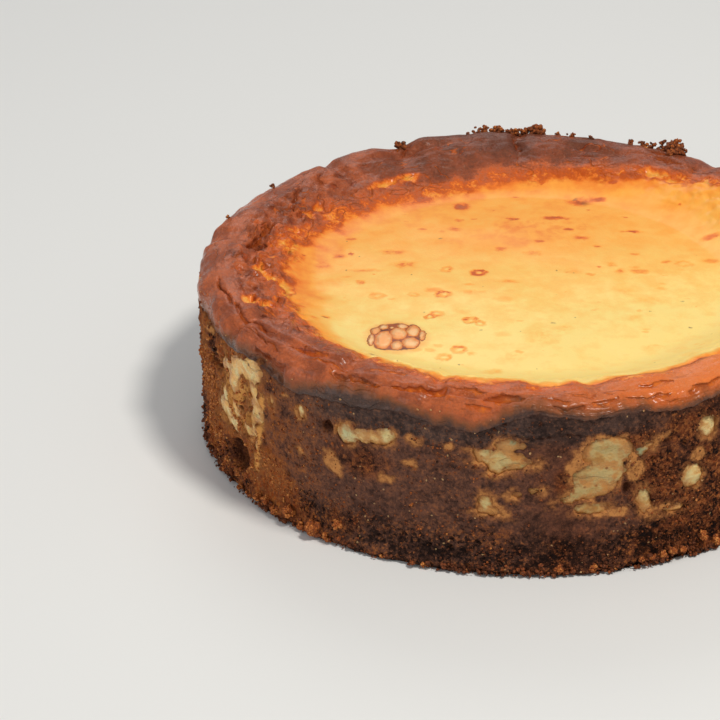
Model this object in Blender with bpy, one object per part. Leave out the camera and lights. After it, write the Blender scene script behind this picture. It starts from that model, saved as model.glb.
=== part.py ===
"""A whole baked cheesecake: a pressed crumb crust with gaps in its wall, and a browned custard filling.

Run it with blender --background --python part.py. Sizes are in metres, +Z is up, and the origin is
under the middle of the flat base. An azimuth is in degrees, 0 towards -Y and 90 towards +X.
"""

import math
import random

import bmesh
import bpy
from mathutils import Vector, noise
from mathutils.bvhtree import BVHTree

# Driving sizes: the cake is turned out of a 22 cm tin
CAKE_RADIUS = 0.110
RIM_HEIGHT = 0.061
RIM_CREST_RADIUS = 0.1010
DISH_DEPTH = 0.0115
DISH_FLOOR_RADIUS = 0.068
BASE_THICKNESS = 0.007
WALL_THICKNESS = 0.0055
CRUST_TOP = 0.0500
CRUST_RISE = 0.0046
FIT_GAP = 0.0003

# Worked out from them
DISH_HEIGHT = RIM_HEIGHT - DISH_DEPTH
FILLING_WALL_RADIUS = CAKE_RADIUS - WALL_THICKNESS - 2 * FIT_GAP
LIP_UNDERSIDE = CRUST_TOP + 2 * FIT_GAP
PLUG_RADIUS = CAKE_RADIUS - 0.0008

AZIMUTH_STEPS = 96
BLOB_POINTS = 12
SEED = 22

# Relief of the browned rim
SWELL_HEIGHT = 0.0016
SWELL_RADIUS = 0.0014
LUMP_DEPTH = 0.0011
LUMP_SIZE = 0.011

# Swells of the dish floor and pits in the rim's inner slope: place, spread, height
SWELLS = (
    ((0.004, 0.041), 0.024, 0.0010),
    ((-0.040, -0.046), 0.0085, 0.0011),
    ((0.030, -0.020), 0.030, -0.0007),
    ((-0.091, -0.019), 0.0050, -0.0016),
    ((-0.091, 0.006), 0.0048, -0.0020),
    ((-0.088, 0.022), 0.0055, 0.0010),
    ((-0.080, -0.046), 0.0060, -0.0010),
    ((-0.046, 0.080), 0.0055, -0.0012),
    ((-0.068, -0.022), 0.0040, 0.0006),
)

# Clefts that run down across the rim: azimuth, half width in degrees, depth
CLEFTS = (
    (-153.0, 6.5, 0.0026),
    (-136.0, 3.0, 0.0020),
    (-179.0, 2.6, 0.0017),
    (-96.0, 4.5, 0.0020),
    (-58.0, 3.4, 0.0024),
    (-31.0, 2.6, 0.0018),
    (-14.0, 2.6, 0.0012),
    (13.0, 3.4, 0.0010),
    (46.0, 3.6, 0.0022),
    (78.0, 4.2, 0.0018),
    (107.0, 3.0, 0.0022),
    (138.0, 4.0, 0.0014),
)

# Folds that run round the rim: first and last azimuth, radius, half width, depth
FOLDS = (
    (-112.0, -78.0, 0.0925, 0.0028, 0.0022),
    (-60.0, -26.0, 0.1020, 0.0022, 0.0015),
    (-27.0, 4.0, 0.1050, 0.0018, 0.0013),
    (30.0, 62.0, 0.0965, 0.0026, 0.0016),
    (84.0, 122.0, 0.1030, 0.0022, 0.0015),
    (150.0, 176.0, 0.0960, 0.0026, 0.0014),
    (-170.0, -140.0, 0.0970, 0.0028, 0.0018),
)

# Gaps in the crust where the filling shows: azimuth, height, half width, half height, tilt in degrees
SHOWN_GAPS = (
    (-54.5, 0.0435, 0.0072, 0.0058, -8.0),
    (-50.5, 0.0325, 0.0032, 0.0056, 12.0),
    (-25.6, 0.0418, 0.0102, 0.0024, 12.0),
    (-2.5, 0.0412, 0.0088, 0.0034, 4.0),
    (13.2, 0.0335, 0.0078, 0.0078, 20.0),
    (20.6, 0.0400, 0.0062, 0.0020, 24.0),
    (29.4, 0.0278, 0.0038, 0.0046, -10.0),
    (21.4, 0.0200, 0.0026, 0.0046, -24.0),
    (32.6, 0.0428, 0.0036, 0.0040, 0.0),
    (-5.2, 0.0242, 0.0040, 0.0027, 16.0),
    (-31.6, 0.0290, 0.0034, 0.0032, -36.0),
)
UNSEEN_GAP_FIRST = 44.0
UNSEEN_GAP_LAST = 288.0
UNSEEN_GAP_COUNT = 15

# A deep hole at the crust's foot: azimuth, height, half sizes along, out and up
FOOT_HOLE = (-57.0, 0.0100, (0.0040, 0.0042, 0.0068))

# Crumbs that lie on the rim's outer slope: azimuth, radius, height, size
RIM_CRUMBS = (
    (148.8, 0.1050, 0.0612, 0.0034),
    (151.4, 0.1056, 0.0608, 0.0024),
    (153.6, 0.1062, 0.0602, 0.0021),
    (176.8, 0.1070, 0.0600, 0.0024),
    (179.6, 0.1074, 0.0592, 0.0019),
    (-177.6, 0.1074, 0.0590, 0.0017),
    (-175.2, 0.1072, 0.0592, 0.0020),
    (-172.6, 0.1072, 0.0590, 0.0017),
    (-153.6, 0.1066, 0.0590, 0.0021),
    (70.0, 0.1068, 0.0592, 0.0020),
    (118.0, 0.1064, 0.0600, 0.0022),
)
FOOT_CRUMB_COUNT = 38
FOOT_CRUMB_LEAST = 0.0012
FOOT_CRUMB_MOST = 0.0024
BIG_FOOT_CRUMB = (-44.5, 0.0030)

CUSTARD_PALE = (0.92, 0.66, 0.25, 1.0)
SKIN_BROWN = (0.27, 0.075, 0.035, 1.0)
CRUMB_DARK = (0.055, 0.024, 0.014, 1.0)


def clear_scene():
    for thing in list(bpy.data.objects):
        bpy.data.objects.remove(thing)


def material(name, colour, roughness):
    made = bpy.data.materials.new(name)
    made.use_nodes = True
    shader = made.node_tree.nodes["Principled BSDF"]
    shader.inputs["Base Color"].default_value = colour
    shader.inputs["Roughness"].default_value = roughness
    made.diffuse_color = colour
    return made


def ramp(low, high, value):
    """0 below low, 1 above high, and smooth between them."""
    share = min(1.0, max(0.0, (value - low) / (high - low)))
    return share * share * (3 - 2 * share)


def bump(distance, half_width):
    """1 at no distance, falling to 0 at the half width."""
    return 1 - ramp(0.0, half_width, abs(distance))


def turn_between(first, second):
    """The smaller angle between two azimuths, in degrees."""
    return (first - second + 180.0) % 360.0 - 180.0


def azimuth_of(point):
    return math.degrees(math.atan2(point.x, -point.y))


def at(azimuth, radius, height):
    turn = math.radians(azimuth)
    return Vector((radius * math.sin(turn), -radius * math.cos(turn), height))


def ring_noise(azimuth, waves, layer):
    """Noise along the azimuth, about -1 to 1, that meets itself after a full turn."""
    point = at(azimuth, waves, layer)
    return 1.6 * noise.noise(point)


def crust_rise(azimuth):
    """How much higher than usual the crust's top edge is: it climbs on one side."""
    climb = ramp(-13.0, -1.0, azimuth) * (1 - ramp(48.0, 84.0, azimuth))
    return CRUST_RISE * climb + 0.0006 * ring_noise(azimuth, 5.0, 1.0)


def rim_drop(azimuth, radius):
    """How far the clefts and folds sink the rim at a place."""
    across = ramp(0.084, 0.096, radius)
    drop = 0.0
    for middle, half_width, depth in CLEFTS:
        drop += depth * across * bump(turn_between(azimuth, middle), half_width)
    for first, last, middle, half_width, depth in FOLDS:
        along = bump(turn_between(azimuth, (first + last) / 2), (last - first) / 2)
        wander = 0.0012 * ring_noise(azimuth, 4.0, 9.1)
        drop += depth * along ** 0.5 * bump(radius - middle - wander, half_width)
    return drop


def filling_profile():
    """The filling's outline from the middle of its top, over the rim, to the middle of its underside."""
    floor = [(DISH_FLOOR_RADIUS * step / 5, DISH_HEIGHT) for step in range(6)]
    slope_steps = 10
    rise = []
    for step in range(1, slope_steps + 1):
        share = step / slope_steps
        radius = DISH_FLOOR_RADIUS + (RIM_CREST_RADIUS - DISH_FLOOR_RADIUS) * share
        rise.append((radius, DISH_HEIGHT + DISH_DEPTH * math.sin(share * math.pi / 2) ** 2))
    shoulder = []
    shoulder_steps = 6
    lip_height = LIP_UNDERSIDE + 0.0028
    for step in range(1, shoulder_steps + 1):
        turn = step / shoulder_steps * math.pi / 2
        radius = RIM_CREST_RADIUS + (CAKE_RADIUS - RIM_CREST_RADIUS) * math.sin(turn)
        shoulder.append((radius, lip_height + (RIM_HEIGHT - lip_height) * math.cos(turn)))
    seat = [
        (CAKE_RADIUS - 0.0003, LIP_UNDERSIDE + 0.0009),
        (CAKE_RADIUS - 0.0020, LIP_UNDERSIDE),
        (FILLING_WALL_RADIUS, LIP_UNDERSIDE),
        (FILLING_WALL_RADIUS, BASE_THICKNESS + FIT_GAP),
        (0.0, BASE_THICKNESS + FIT_GAP),
    ]
    return floor + rise + shoulder + seat


def crust_profile():
    """The crust's outline from the middle of its floor, over the wall, to the middle of its base."""
    wall_steps = 8
    outer = []
    for step in range(wall_steps + 1):
        share = 1 - step / wall_steps
        outer.append((CAKE_RADIUS, 0.0014 + (CRUST_TOP - 0.0014) * share))
    return [
        (0.0, BASE_THICKNESS),
        (CAKE_RADIUS - WALL_THICKNESS, BASE_THICKNESS),
        (CAKE_RADIUS - WALL_THICKNESS, CRUST_TOP),
        *outer,
        (CAKE_RADIUS - 0.0006, 0.0),
        (0.0, 0.0),
    ]


def turned(profile):
    """A closed body of revolution about Z, as a bmesh."""
    body = bmesh.new()
    corners = [body.verts.new((0.0, -radius, height)) for radius, height in profile]
    lines = [body.edges.new(pair) for pair in zip(corners, corners[1:])]
    bmesh.ops.spin(
        body,
        geom=corners + lines,
        cent=(0, 0, 0),
        axis=(0, 0, 1),
        angle=math.tau,
        steps=AZIMUTH_STEPS,
        use_merge=True,
    )
    bmesh.ops.remove_doubles(body, verts=body.verts, dist=1e-6)
    bmesh.ops.recalc_face_normals(body, faces=body.faces)
    return body


def press_rim(body):
    """Gives the turned filling its uneven dish, swollen rim, clefts, folds and lumps."""
    for corner in body.verts:
        radius = corner.co.xy.length
        height = corner.co.z
        if height < BASE_THICKNESS + 0.001:
            continue
        azimuth = azimuth_of(corner.co)
        share = 1.0
        if radius > RIM_CREST_RADIUS + 1e-4:
            share = (height - LIP_UNDERSIDE) / (RIM_HEIGHT - LIP_UNDERSIDE)
            height += crust_rise(azimuth) * (1 - share)
        if share < 1e-3:
            corner.co.z = height
            continue
        on_rim = ramp(DISH_FLOOR_RADIUS, 0.092, radius)
        upper = ramp(0.0, 0.6, share)
        lump = noise.noise(corner.co / LUMP_SIZE)
        swell = SWELL_HEIGHT * ring_noise(azimuth, 1.3, 2.0)
        rise = on_rim * upper * (swell + LUMP_DEPTH * lump - rim_drop(azimuth, radius))
        for middle, spread, swell_height in SWELLS:
            away = (corner.co.xy - Vector(middle)).length / spread
            rise += swell_height * math.exp(-(away**2))
        rise += 0.0005 * noise.noise(corner.co / 0.03) * (1 - on_rim)
        inward = ramp(DISH_FLOOR_RADIUS, RIM_CREST_RADIUS, radius)
        shift = inward * SWELL_RADIUS * ring_noise(azimuth, 1.7, 5.0)
        edge = ramp(RIM_CREST_RADIUS, CAKE_RADIUS, radius)
        shift = shift * (1 - edge) + edge * 0.0007 * ring_noise(azimuth, 7.0, 7.0)
        corner.co = at(azimuth, radius + shift, height + rise)


def press_wall(body):
    """Makes the crust's outer wall grainy, its foot flared and its top edge ragged."""
    for corner in body.verts:
        radius = corner.co.xy.length
        height = corner.co.z
        azimuth = azimuth_of(corner.co)
        if height > BASE_THICKNESS + 0.001:
            corner.co.z = height + crust_rise(azimuth) * height / CRUST_TOP
        if radius < CAKE_RADIUS - 0.001:
            continue
        grain = 0.0007 * noise.noise(corner.co / 0.006)
        flare = 0.0012 * (1 - ramp(0.0, 0.007, height)) * (0.6 + ring_noise(azimuth, 9.0, 3.0))
        top = ramp(CRUST_TOP - 0.0015, CRUST_TOP, height)
        grain -= 0.0010 * top * (0.5 + 0.5 * ring_noise(azimuth, 11.0, 4.0))
        corner.co = at(azimuth, radius + grain + flare, corner.co.z)


def solid(name, body, materials):
    mesh = bpy.data.meshes.new(name)
    body.to_mesh(mesh)
    body.free()
    for each in materials:
        mesh.materials.append(each)
    mesh.shade_smooth()
    made = bpy.data.objects.new(name, mesh)
    bpy.context.scene.collection.objects.link(made)
    return made


def blob_outline(gap, grow, draw):
    """The uneven outline of a gap on the wall, as (metres along, metres up) from its middle."""
    _, _, half_width, half_height, tilt = gap
    lean = math.radians(tilt)
    outline = []
    for step in range(BLOB_POINTS):
        turn = math.tau * step / BLOB_POINTS
        reach = draw.uniform(0.76, 1.12)
        along = math.cos(turn) * (half_width * reach + grow)
        up = math.sin(turn) * (half_height * reach + grow)
        outline.append(
            (
                along * math.cos(lean) - up * math.sin(lean),
                along * math.sin(lean) + up * math.cos(lean),
            )
        )
    return outline


def blob_prism(name, gap, grow, inner, outer, seed):
    """A gap's outline run out through the wall, from the inner to the outer radius."""
    outline = blob_outline(gap, grow, random.Random(seed))
    body = bmesh.new()
    rings = []
    for radius in (inner, outer):
        ring = []
        for along, up in outline:
            azimuth = gap[0] + math.degrees(along / CAKE_RADIUS)
            ring.append(body.verts.new(at(azimuth, radius, gap[1] + up)))
        rings.append(ring)
        middle = body.verts.new(at(gap[0], radius, gap[1]))
        for here, after in zip(ring, ring[1:] + ring[:1]):
            body.faces.new((here, after, middle))
    for step in range(BLOB_POINTS):
        after = (step + 1) % BLOB_POINTS
        body.faces.new((rings[0][step], rings[0][after], rings[1][after], rings[1][step]))
    bmesh.ops.recalc_face_normals(body, faces=body.faces)
    return solid(name, body, [])


def crumb(name, surface, place, size, draw):
    """An angular crumb, squashed and dented at random, half sunk where it lies nearest the surface."""
    touch, outward, _, _ = surface.find_nearest(place)
    place = touch + outward * 0.35 * size
    place.z = max(place.z, 0.97 * size)
    body = bmesh.new()
    bmesh.ops.create_icosphere(body, subdivisions=1, radius=size)
    for corner in body.verts:
        corner.co *= draw.uniform(0.78, 1.16)
        corner.co.z *= 0.82
    bmesh.ops.translate(body, verts=body.verts, vec=place)
    return solid(name, body, [])


def foot_hole_cutter():
    azimuth, height, half_sizes = FOOT_HOLE
    body = bmesh.new()
    bmesh.ops.create_icosphere(body, subdivisions=2, radius=1.0)
    along = at(azimuth + 90, 1.0, 0.0)
    out = at(azimuth, 1.0, 0.0)
    middle = at(azimuth, CAKE_RADIUS + 0.0005, height)
    for corner in body.verts:
        x, y, z = corner.co * (1 + 0.16 * noise.noise(corner.co * 1.7))
        corner.co = middle + along * x * half_sizes[0] + out * y * half_sizes[1]
        corner.co.z += z * half_sizes[2]
    bmesh.ops.recalc_face_normals(body, faces=body.faces)
    return solid("foot_hole", body, [])


def all_gaps():
    """The gaps worked out by eye on the shown side, and seeded ones of like size on the rest."""
    draw = random.Random(SEED)
    gaps = list(SHOWN_GAPS)
    pitch = (UNSEEN_GAP_LAST - UNSEEN_GAP_FIRST) / UNSEEN_GAP_COUNT
    for step in range(UNSEEN_GAP_COUNT):
        azimuth = UNSEEN_GAP_FIRST + pitch * (step + draw.uniform(0.25, 0.75))
        height = draw.choice((0.0405, 0.0360, 0.0290, 0.0240)) + draw.uniform(-0.002, 0.002)
        half_width = draw.uniform(0.0034, 0.0080)
        half_height = draw.uniform(0.0024, 0.0048)
        gaps.append((azimuth, height, half_width, half_height, draw.uniform(-25.0, 25.0)))
    return gaps


def combine(target, tools, operation, solver):
    """One Boolean of the target with all the tools, applied, after which the tools are removed."""
    group = bpy.data.collections.new(f"{target.name}_{operation.lower()}")
    bpy.context.scene.collection.children.link(group)
    for tool in tools:
        bpy.context.scene.collection.objects.unlink(tool)
        group.objects.link(tool)
    change = target.modifiers.new(operation.title(), "BOOLEAN")
    change.operation = operation
    change.solver = solver
    change.operand_type = "COLLECTION"
    change.collection = group
    bpy.context.view_layer.update()
    graph = bpy.context.evaluated_depsgraph_get()
    shaped = bpy.data.meshes.new_from_object(target.evaluated_get(graph))
    target.modifiers.clear()
    target.data = shaped
    for tool in tools:
        bpy.data.objects.remove(tool)
    bpy.data.collections.remove(group)


def make_crust(dark):
    """The crumb base and wall, with the gaps cut through the wall and crumbs along its foot."""
    body = turned(crust_profile())
    press_wall(body)
    crust = solid("crumb_crust", body, [dark])
    inner = CAKE_RADIUS - WALL_THICKNESS - 0.004
    cutters = [
        blob_prism(f"gap_{index}", gap, FIT_GAP, inner, CAKE_RADIUS + 0.004, index)
        for index, gap in enumerate(all_gaps())
    ]
    combine(crust, cutters + [foot_hole_cutter()], "DIFFERENCE", "EXACT")
    surface = BVHTree.FromObject(crust, bpy.context.evaluated_depsgraph_get())
    draw = random.Random(SEED + 1)
    crumbs = []
    for index in range(FOOT_CRUMB_COUNT):
        azimuth = 360.0 / FOOT_CRUMB_COUNT * (index + draw.uniform(-0.35, 0.35))
        size = draw.uniform(FOOT_CRUMB_LEAST, FOOT_CRUMB_MOST)
        place = at(azimuth, CAKE_RADIUS + 0.01, size + 0.0002)
        crumbs.append(crumb(f"foot_crumb_{index}", surface, place, size, draw))
    azimuth, size = BIG_FOOT_CRUMB
    crumbs.append(crumb("big_crumb", surface, at(azimuth, CAKE_RADIUS + 0.01, size + 0.0002), size, draw))
    combine(crust, crumbs, "UNION", "MANIFOLD")
    return crust


def make_filling(pale, brown):
    """The custard, with its dish, its browned rim and the bosses that fill the crust's gaps."""
    body = turned(filling_profile())
    press_rim(body)
    filling = solid("cheese_filling", body, [pale, brown])
    plugs = [
        blob_prism(f"plug_{index}", gap, -FIT_GAP, FILLING_WALL_RADIUS - 0.002, PLUG_RADIUS, index)
        for index, gap in enumerate(all_gaps())
    ]
    surface = BVHTree.FromObject(filling, bpy.context.evaluated_depsgraph_get())
    draw = random.Random(SEED + 2)
    crumbs = [
        crumb(f"rim_crumb_{index}", surface, at(azimuth, radius, height), size, draw)
        for index, (azimuth, radius, height, size) in enumerate(RIM_CRUMBS)
    ]
    combine(filling, plugs + crumbs, "UNION", "EXACT")
    for face in filling.data.polygons:
        middle = face.center
        browned = middle.z > LIP_UNDERSIDE and middle.xy.length > 0.5 * (DISH_FLOOR_RADIUS + 0.092)
        face.material_index = 1 if browned else 0
    return filling


def main():
    clear_scene()
    pale = material("baked_custard", CUSTARD_PALE, 0.45)
    brown = material("browned_skin", SKIN_BROWN, 0.5)
    dark = material("dark_crumb", CRUMB_DARK, 0.85)
    make_crust(dark)
    make_filling(pale, brown)


main()
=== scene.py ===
"""The finish of a whole baked cheesecake: browned custard, crumb crust and the loose crumbs on them.

Lengths are in metres, +Z is up and -Y is the front. An azimuth is in degrees, 0 at the front and 90
towards +X. The pieces are custard, crust, wall_crumbs, foot_crumbs and rim_crumbs.
"""

import math

import bpy
import numpy as np
from mathutils import Matrix, Vector, noise


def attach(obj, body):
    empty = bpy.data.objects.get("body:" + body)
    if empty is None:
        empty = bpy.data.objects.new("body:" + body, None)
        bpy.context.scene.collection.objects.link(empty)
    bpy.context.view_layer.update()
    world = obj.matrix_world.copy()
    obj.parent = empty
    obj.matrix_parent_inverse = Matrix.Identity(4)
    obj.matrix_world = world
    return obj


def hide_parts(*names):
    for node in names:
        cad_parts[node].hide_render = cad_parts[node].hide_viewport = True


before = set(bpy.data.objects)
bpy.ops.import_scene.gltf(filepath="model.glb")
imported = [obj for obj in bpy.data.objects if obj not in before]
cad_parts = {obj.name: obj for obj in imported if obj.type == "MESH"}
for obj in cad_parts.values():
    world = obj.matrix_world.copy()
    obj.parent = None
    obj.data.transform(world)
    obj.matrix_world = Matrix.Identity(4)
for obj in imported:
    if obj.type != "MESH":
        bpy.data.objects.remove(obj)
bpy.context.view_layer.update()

bl_info = {
    "name": "Baked Cheesecake",
    "version": (1, 0, 0),
    "blender": (4, 5, 0),
    "location": "3D View > Sidebar > Cheesecake",
    "description": "Models a whole baked cheesecake with a browned rim and a crumb crust",
    "category": "Add Mesh",
}

# How far the custard's side lies inside the crust's face, the usual height of the crust's top edge, and
# the radius of the wall that the tables below were measured on
SIDE_DEPTH = 0.0009
CRUST_TOP = 0.0500
WALL_RADIUS = 0.110

# Clefts that run down across the rim: azimuth, half width in degrees, depth
CLEFTS = (
    (-153.0, 6.5, 0.0026),
    (-136.0, 3.0, 0.0020),
    (-179.0, 2.6, 0.0017),
    (-96.0, 4.5, 0.0020),
    (-58.0, 3.4, 0.0024),
    (-31.0, 2.6, 0.0018),
    (-14.0, 2.6, 0.0012),
    (13.0, 3.4, 0.0010),
    (46.0, 3.6, 0.0022),
    (78.0, 4.2, 0.0018),
    (107.0, 3.0, 0.0022),
    (138.0, 4.0, 0.0014),
)

# Folds that run round the rim: first and last azimuth, radius, half width, depth
FOLDS = (
    (-112.0, -78.0, 0.0925, 0.0028, 0.0022),
    (-60.0, -26.0, 0.1020, 0.0022, 0.0015),
    (-27.0, 4.0, 0.1050, 0.0018, 0.0013),
    (30.0, 62.0, 0.0965, 0.0026, 0.0016),
    (84.0, 122.0, 0.1030, 0.0022, 0.0015),
    (150.0, 176.0, 0.0960, 0.0026, 0.0014),
    (-170.0, -140.0, 0.0970, 0.0028, 0.0018),
)

# Swells of the dish floor and pits in the rim's inner slope: place, spread, height
SWELLS = (
    ((0.004, 0.041), 0.024, 0.0010),
    ((-0.040, -0.046), 0.0085, 0.0011),
    ((0.030, -0.020), 0.030, -0.0007),
    ((-0.091, -0.019), 0.0050, -0.0016),
    ((-0.091, 0.006), 0.0048, -0.0020),
    ((-0.088, 0.022), 0.0055, 0.0010),
    ((-0.080, -0.046), 0.0060, -0.0010),
    ((-0.046, 0.080), 0.0055, -0.0012),
    ((-0.068, -0.022), 0.0040, 0.0006),
)

# Split skin on the rim: azimuth and radius at its start and end, half width, depth, how orange inside
SPLITS = (
    (-44.5, 0.1018, -35.5, 0.1006, 0.0010, 0.0012, 0.9),
    (-32.0, 0.1058, -23.0, 0.1074, 0.0009, 0.0018, 0.6),
    (-21.5, 0.1060, -12.0, 0.1040, 0.0013, 0.0016, 1.0),
    (-50.0, 0.1094, -41.5, 0.1098, 0.0009, 0.0020, 0.1),
    (-26.5, 0.1022, -20.0, 0.1014, 0.0008, 0.0010, 1.0),
    (-6.0, 0.1052, 1.2, 0.1050, 0.0017, 0.0013, 0.7),
    (-8.6, 0.1078, -4.0, 0.1088, 0.0006, 0.0008, 0.8),
    (5.2, 0.1086, 10.6, 0.1078, 0.0006, 0.0012, 0.2),
    (11.4, 0.1072, 16.6, 0.1062, 0.0009, 0.0012, 1.0),
    (17.4, 0.1070, 20.2, 0.1084, 0.0010, 0.0010, 1.0),
    (-75.5, 0.1046, -63.0, 0.1030, 0.0007, 0.0018, 0.2),
    (-64.0, 0.1030, -55.0, 0.1018, 0.0007, 0.0016, 0.3),
    (-56.5, 0.1018, -45.5, 0.1034, 0.0006, 0.0016, 0.4),
    (-54.0, 0.1052, -44.0, 0.1066, 0.0005, 0.0010, 0.3),
    (-38.0, 0.1046, -30.0, 0.1038, 0.0006, 0.0010, 0.8),
    (-17.4, 0.1074, -13.8, 0.1072, 0.0005, 0.0006, 1.0),
    (-12.6, 0.1032, -5.0, 0.1026, 0.0006, 0.0008, 0.6),
    (3.4, 0.1066, 8.6, 0.1064, 0.0006, 0.0008, 0.9),
    (20.6, 0.1084, 25.4, 0.1080, 0.0007, 0.0009, 0.6),
    (-90.0, 0.0934, -98.0, 0.0920, 0.0009, 0.0022, 0.1),
    (-98.0, 0.0920, -107.0, 0.0914, 0.0007, 0.0018, 0.2),
    (-117.0, 0.0931, -123.0, 0.0950, 0.0009, 0.0018, 0.0),
    (-129.0, 0.0922, -130.5, 0.0990, 0.0007, 0.0012, 0.0),
    (-153.0, 0.0980, -155.4, 0.1030, 0.0009, 0.0014, 0.0),
    (-178.0, 0.1010, -180.0, 0.0919, 0.0008, 0.0016, 0.0),
    (20.0, 0.1030, 27.0, 0.1036, 0.0009, 0.0011, 0.9),
    (28.0, 0.1078, 35.0, 0.1066, 0.0008, 0.0012, 0.7),
)

# Places where the skin has lifted off and shows the custard: azimuth, radius, half sizes along and across
BARE_SPOTS = (
    (-65.4, 0.0972, 0.0040, 0.0028),
    (-63.0, 0.0925, 0.0020, 0.0030),
    (-82.2, 0.0892, 0.0030, 0.0022),
    (-79.5, 0.0850, 0.0034, 0.0020),
    (-76.5, 0.0810, 0.0050, 0.0022),
    (-143.5, 0.0836, 0.0050, 0.0012),
    (-150.0, 0.0838, 0.0036, 0.0011),
    (-116.7, 0.0854, 0.0026, 0.0016),
    (-122.0, 0.0856, 0.0018, 0.0016),
    (147.6, 0.0895, 0.0050, 0.0020),
    (142.0, 0.0890, 0.0040, 0.0014),
    (-90.0, 0.0862, 0.0024, 0.0018),
    (96.0, 0.0880, 0.0034, 0.0020),
    (63.0, 0.0905, 0.0030, 0.0018),
)

# Azimuth and height, in mm, of the browned lip's lower edge on the side in view
LIP_EDGE = (
    (-74.0, 51.0), (-65.0, 50.8), (-56.0, 51.4), (-49.5, 52.8), (-44.4, 50.3), (-37.9, 49.4),
    (-33.5, 50.8), (-28.7, 51.1), (-23.7, 52.2), (-19.5, 53.2), (-15.7, 52.2), (-13.2, 49.8),
    (-9.9, 50.0), (-6.6, 49.6), (-3.0, 53.0), (-0.5, 54.6), (2.2, 55.6), (5.5, 55.4), (10.0, 54.3),
    (15.6, 54.8), (20.0, 54.3), (24.3, 52.8), (27.8, 53.1), (31.1, 54.4), (38.0, 54.2), (52.0, 52.6),
    (64.0, 53.2), (76.0, 50.8),
)  # fmt: skip

# Where the custard shows through the crust's wall: azimuth, height, half width, half height in mm, tilt
GAPS = (
    (-28.7, 41.2, 3.8, 3.4, 0), (-24.8, 42.3, 6.2, 2.4, 6), (-21.6, 43.8, 3.2, 2.6, 0),
    (-2.5, 40.8, 8.9, 3.3, -5), (-1.4, 45.6, 4.9, 2.1, 0), (-3.2, 37.4, 2.8, 1.8, 0),
    (14.2, 42.2, 8.2, 4.8, 0), (13.3, 35.2, 8.2, 4.2, 8), (12.3, 30.0, 7.0, 3.2, 14),
    (8.8, 27.0, 3.4, 1.4, 14), (12.0, 22.9, 5.6, 2.0, -8), (20.4, 41.6, 4.6, 1.2, 33),
    (-5.0, 25.6, 2.4, 3.0, 0), (-4.2, 22.6, 3.8, 1.5, -10), (-0.1, 28.3, 1.6, 1.1, 0),
    (2.5, 30.0, 2.0, 1.0, 10), (20.7, 23.3, 2.4, 4.6, 10), (29.1, 28.9, 3.6, 4.2, 0),
    (31.6, 44.4, 3.2, 3.7, 0), (26.0, 18.6, 3.2, 1.0, 5),
    (-51.0, 48.2, 6.6, 4.6, 10), (-55.4, 45.6, 7.2, 4.2, 18), (-59.6, 43.2, 4.4, 2.2, 20),
    (-57.4, 38.6, 4.2, 4.4, 0), (-49.4, 34.8, 3.4, 4.8, 0), (-50.2, 41.4, 2.6, 4.4, 0),
    (-50.6, 27.0, 1.3, 7.0, 8), (-61.0, 31.0, 2.6, 3.4, 0),
    (-61.7, 25.6, 5.0, 3.4, 10), (-58.4, 22.8, 5.0, 1.8, 0), (-56.6, 29.6, 2.6, 2.8, 0),
    (-52.2, 25.2, 4.2, 2.2, -24), (-45.2, 42.2, 1.4, 1.4, 0), (-38.2, 43.4, 1.6, 2.2, 0),
)  # fmt: skip

# Where it shines through a thin skin of crumb: azimuth, height, half width, half height in mm, tilt
STAINS = (
    (-31.4, 29.8, 5.4, 3.6, -42), (-38.1, 29.0, 3.0, 2.4, 0), (-38.2, 42.6, 3.2, 3.4, 0),
    (-45.2, 42.0, 2.4, 2.0, 0), (-41.3, 47.0, 1.8, 1.2, 0), (-21.5, 29.2, 3.6, 2.2, 0),
    (-17.3, 36.2, 2.6, 2.0, 0), (-16.6, 44.5, 4.2, 2.2, 0), (-11.2, 44.0, 2.4, 2.2, 0),
    (12.9, 47.2, 5.6, 2.0, 0), (9.2, 37.6, 3.4, 5.0, 0), (21.2, 42.4, 6.6, 2.2, 33),
    (18.6, 36.0, 3.6, 5.4, 0), (16.0, 21.0, 6.0, 2.4, 0), (-4.6, 24.2, 4.8, 4.2, 0),
    (-3.0, 36.0, 5.0, 2.0, 0), (-57.4, 37.6, 5.0, 4.4, 0), (-56.2, 29.0, 4.6, 3.6, 0),
    (-52.2, 24.6, 5.6, 3.2, -24), (-49.8, 21.4, 2.2, 4.0, -20), (-60.4, 24.4, 7.4, 4.0, 10),
    (-66.8, 49.6, 4.0, 1.6, 0), (30.0, 36.0, 3.0, 3.0, 0), (24.0, 20.0, 5.0, 2.0, 0),
)  # fmt: skip

# Patches of loose, rust-coloured crumb: azimuth, height, half width, half height in mm, tilt
RUSTY_PATCHES = (
    (-57.0, 35.0, 16.0, 17.0, 0), (-68.0, 18.0, 12.0, 14.0, 0), (-48.0, 13.0, 17.0, 10.0, -20),
    (-40.0, 7.0, 12.0, 5.0, -12), (22.5, 30.0, 8.5, 10.0, 0), (19.0, 45.6, 8.0, 3.0, 8),
    (31.0, 20.0, 11.0, 17.0, 0), (28.0, 47.4, 8.0, 3.6, 0), (8.0, 33.0, 4.0, 4.0, 0),
    (24.0, 9.0, 13.0, 5.0, 6), (-26.0, 33.0, 8.0, 5.0, 0), (-72.0, 36.0, 10.0, 16.0, 0),
    (7.2, 8.0, 2.6, 3.2, 0), (-4.0, 13.4, 3.4, 1.6, 0), (-31.0, 9.0, 6.0, 3.0, 0),
)  # fmt: skip

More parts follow.
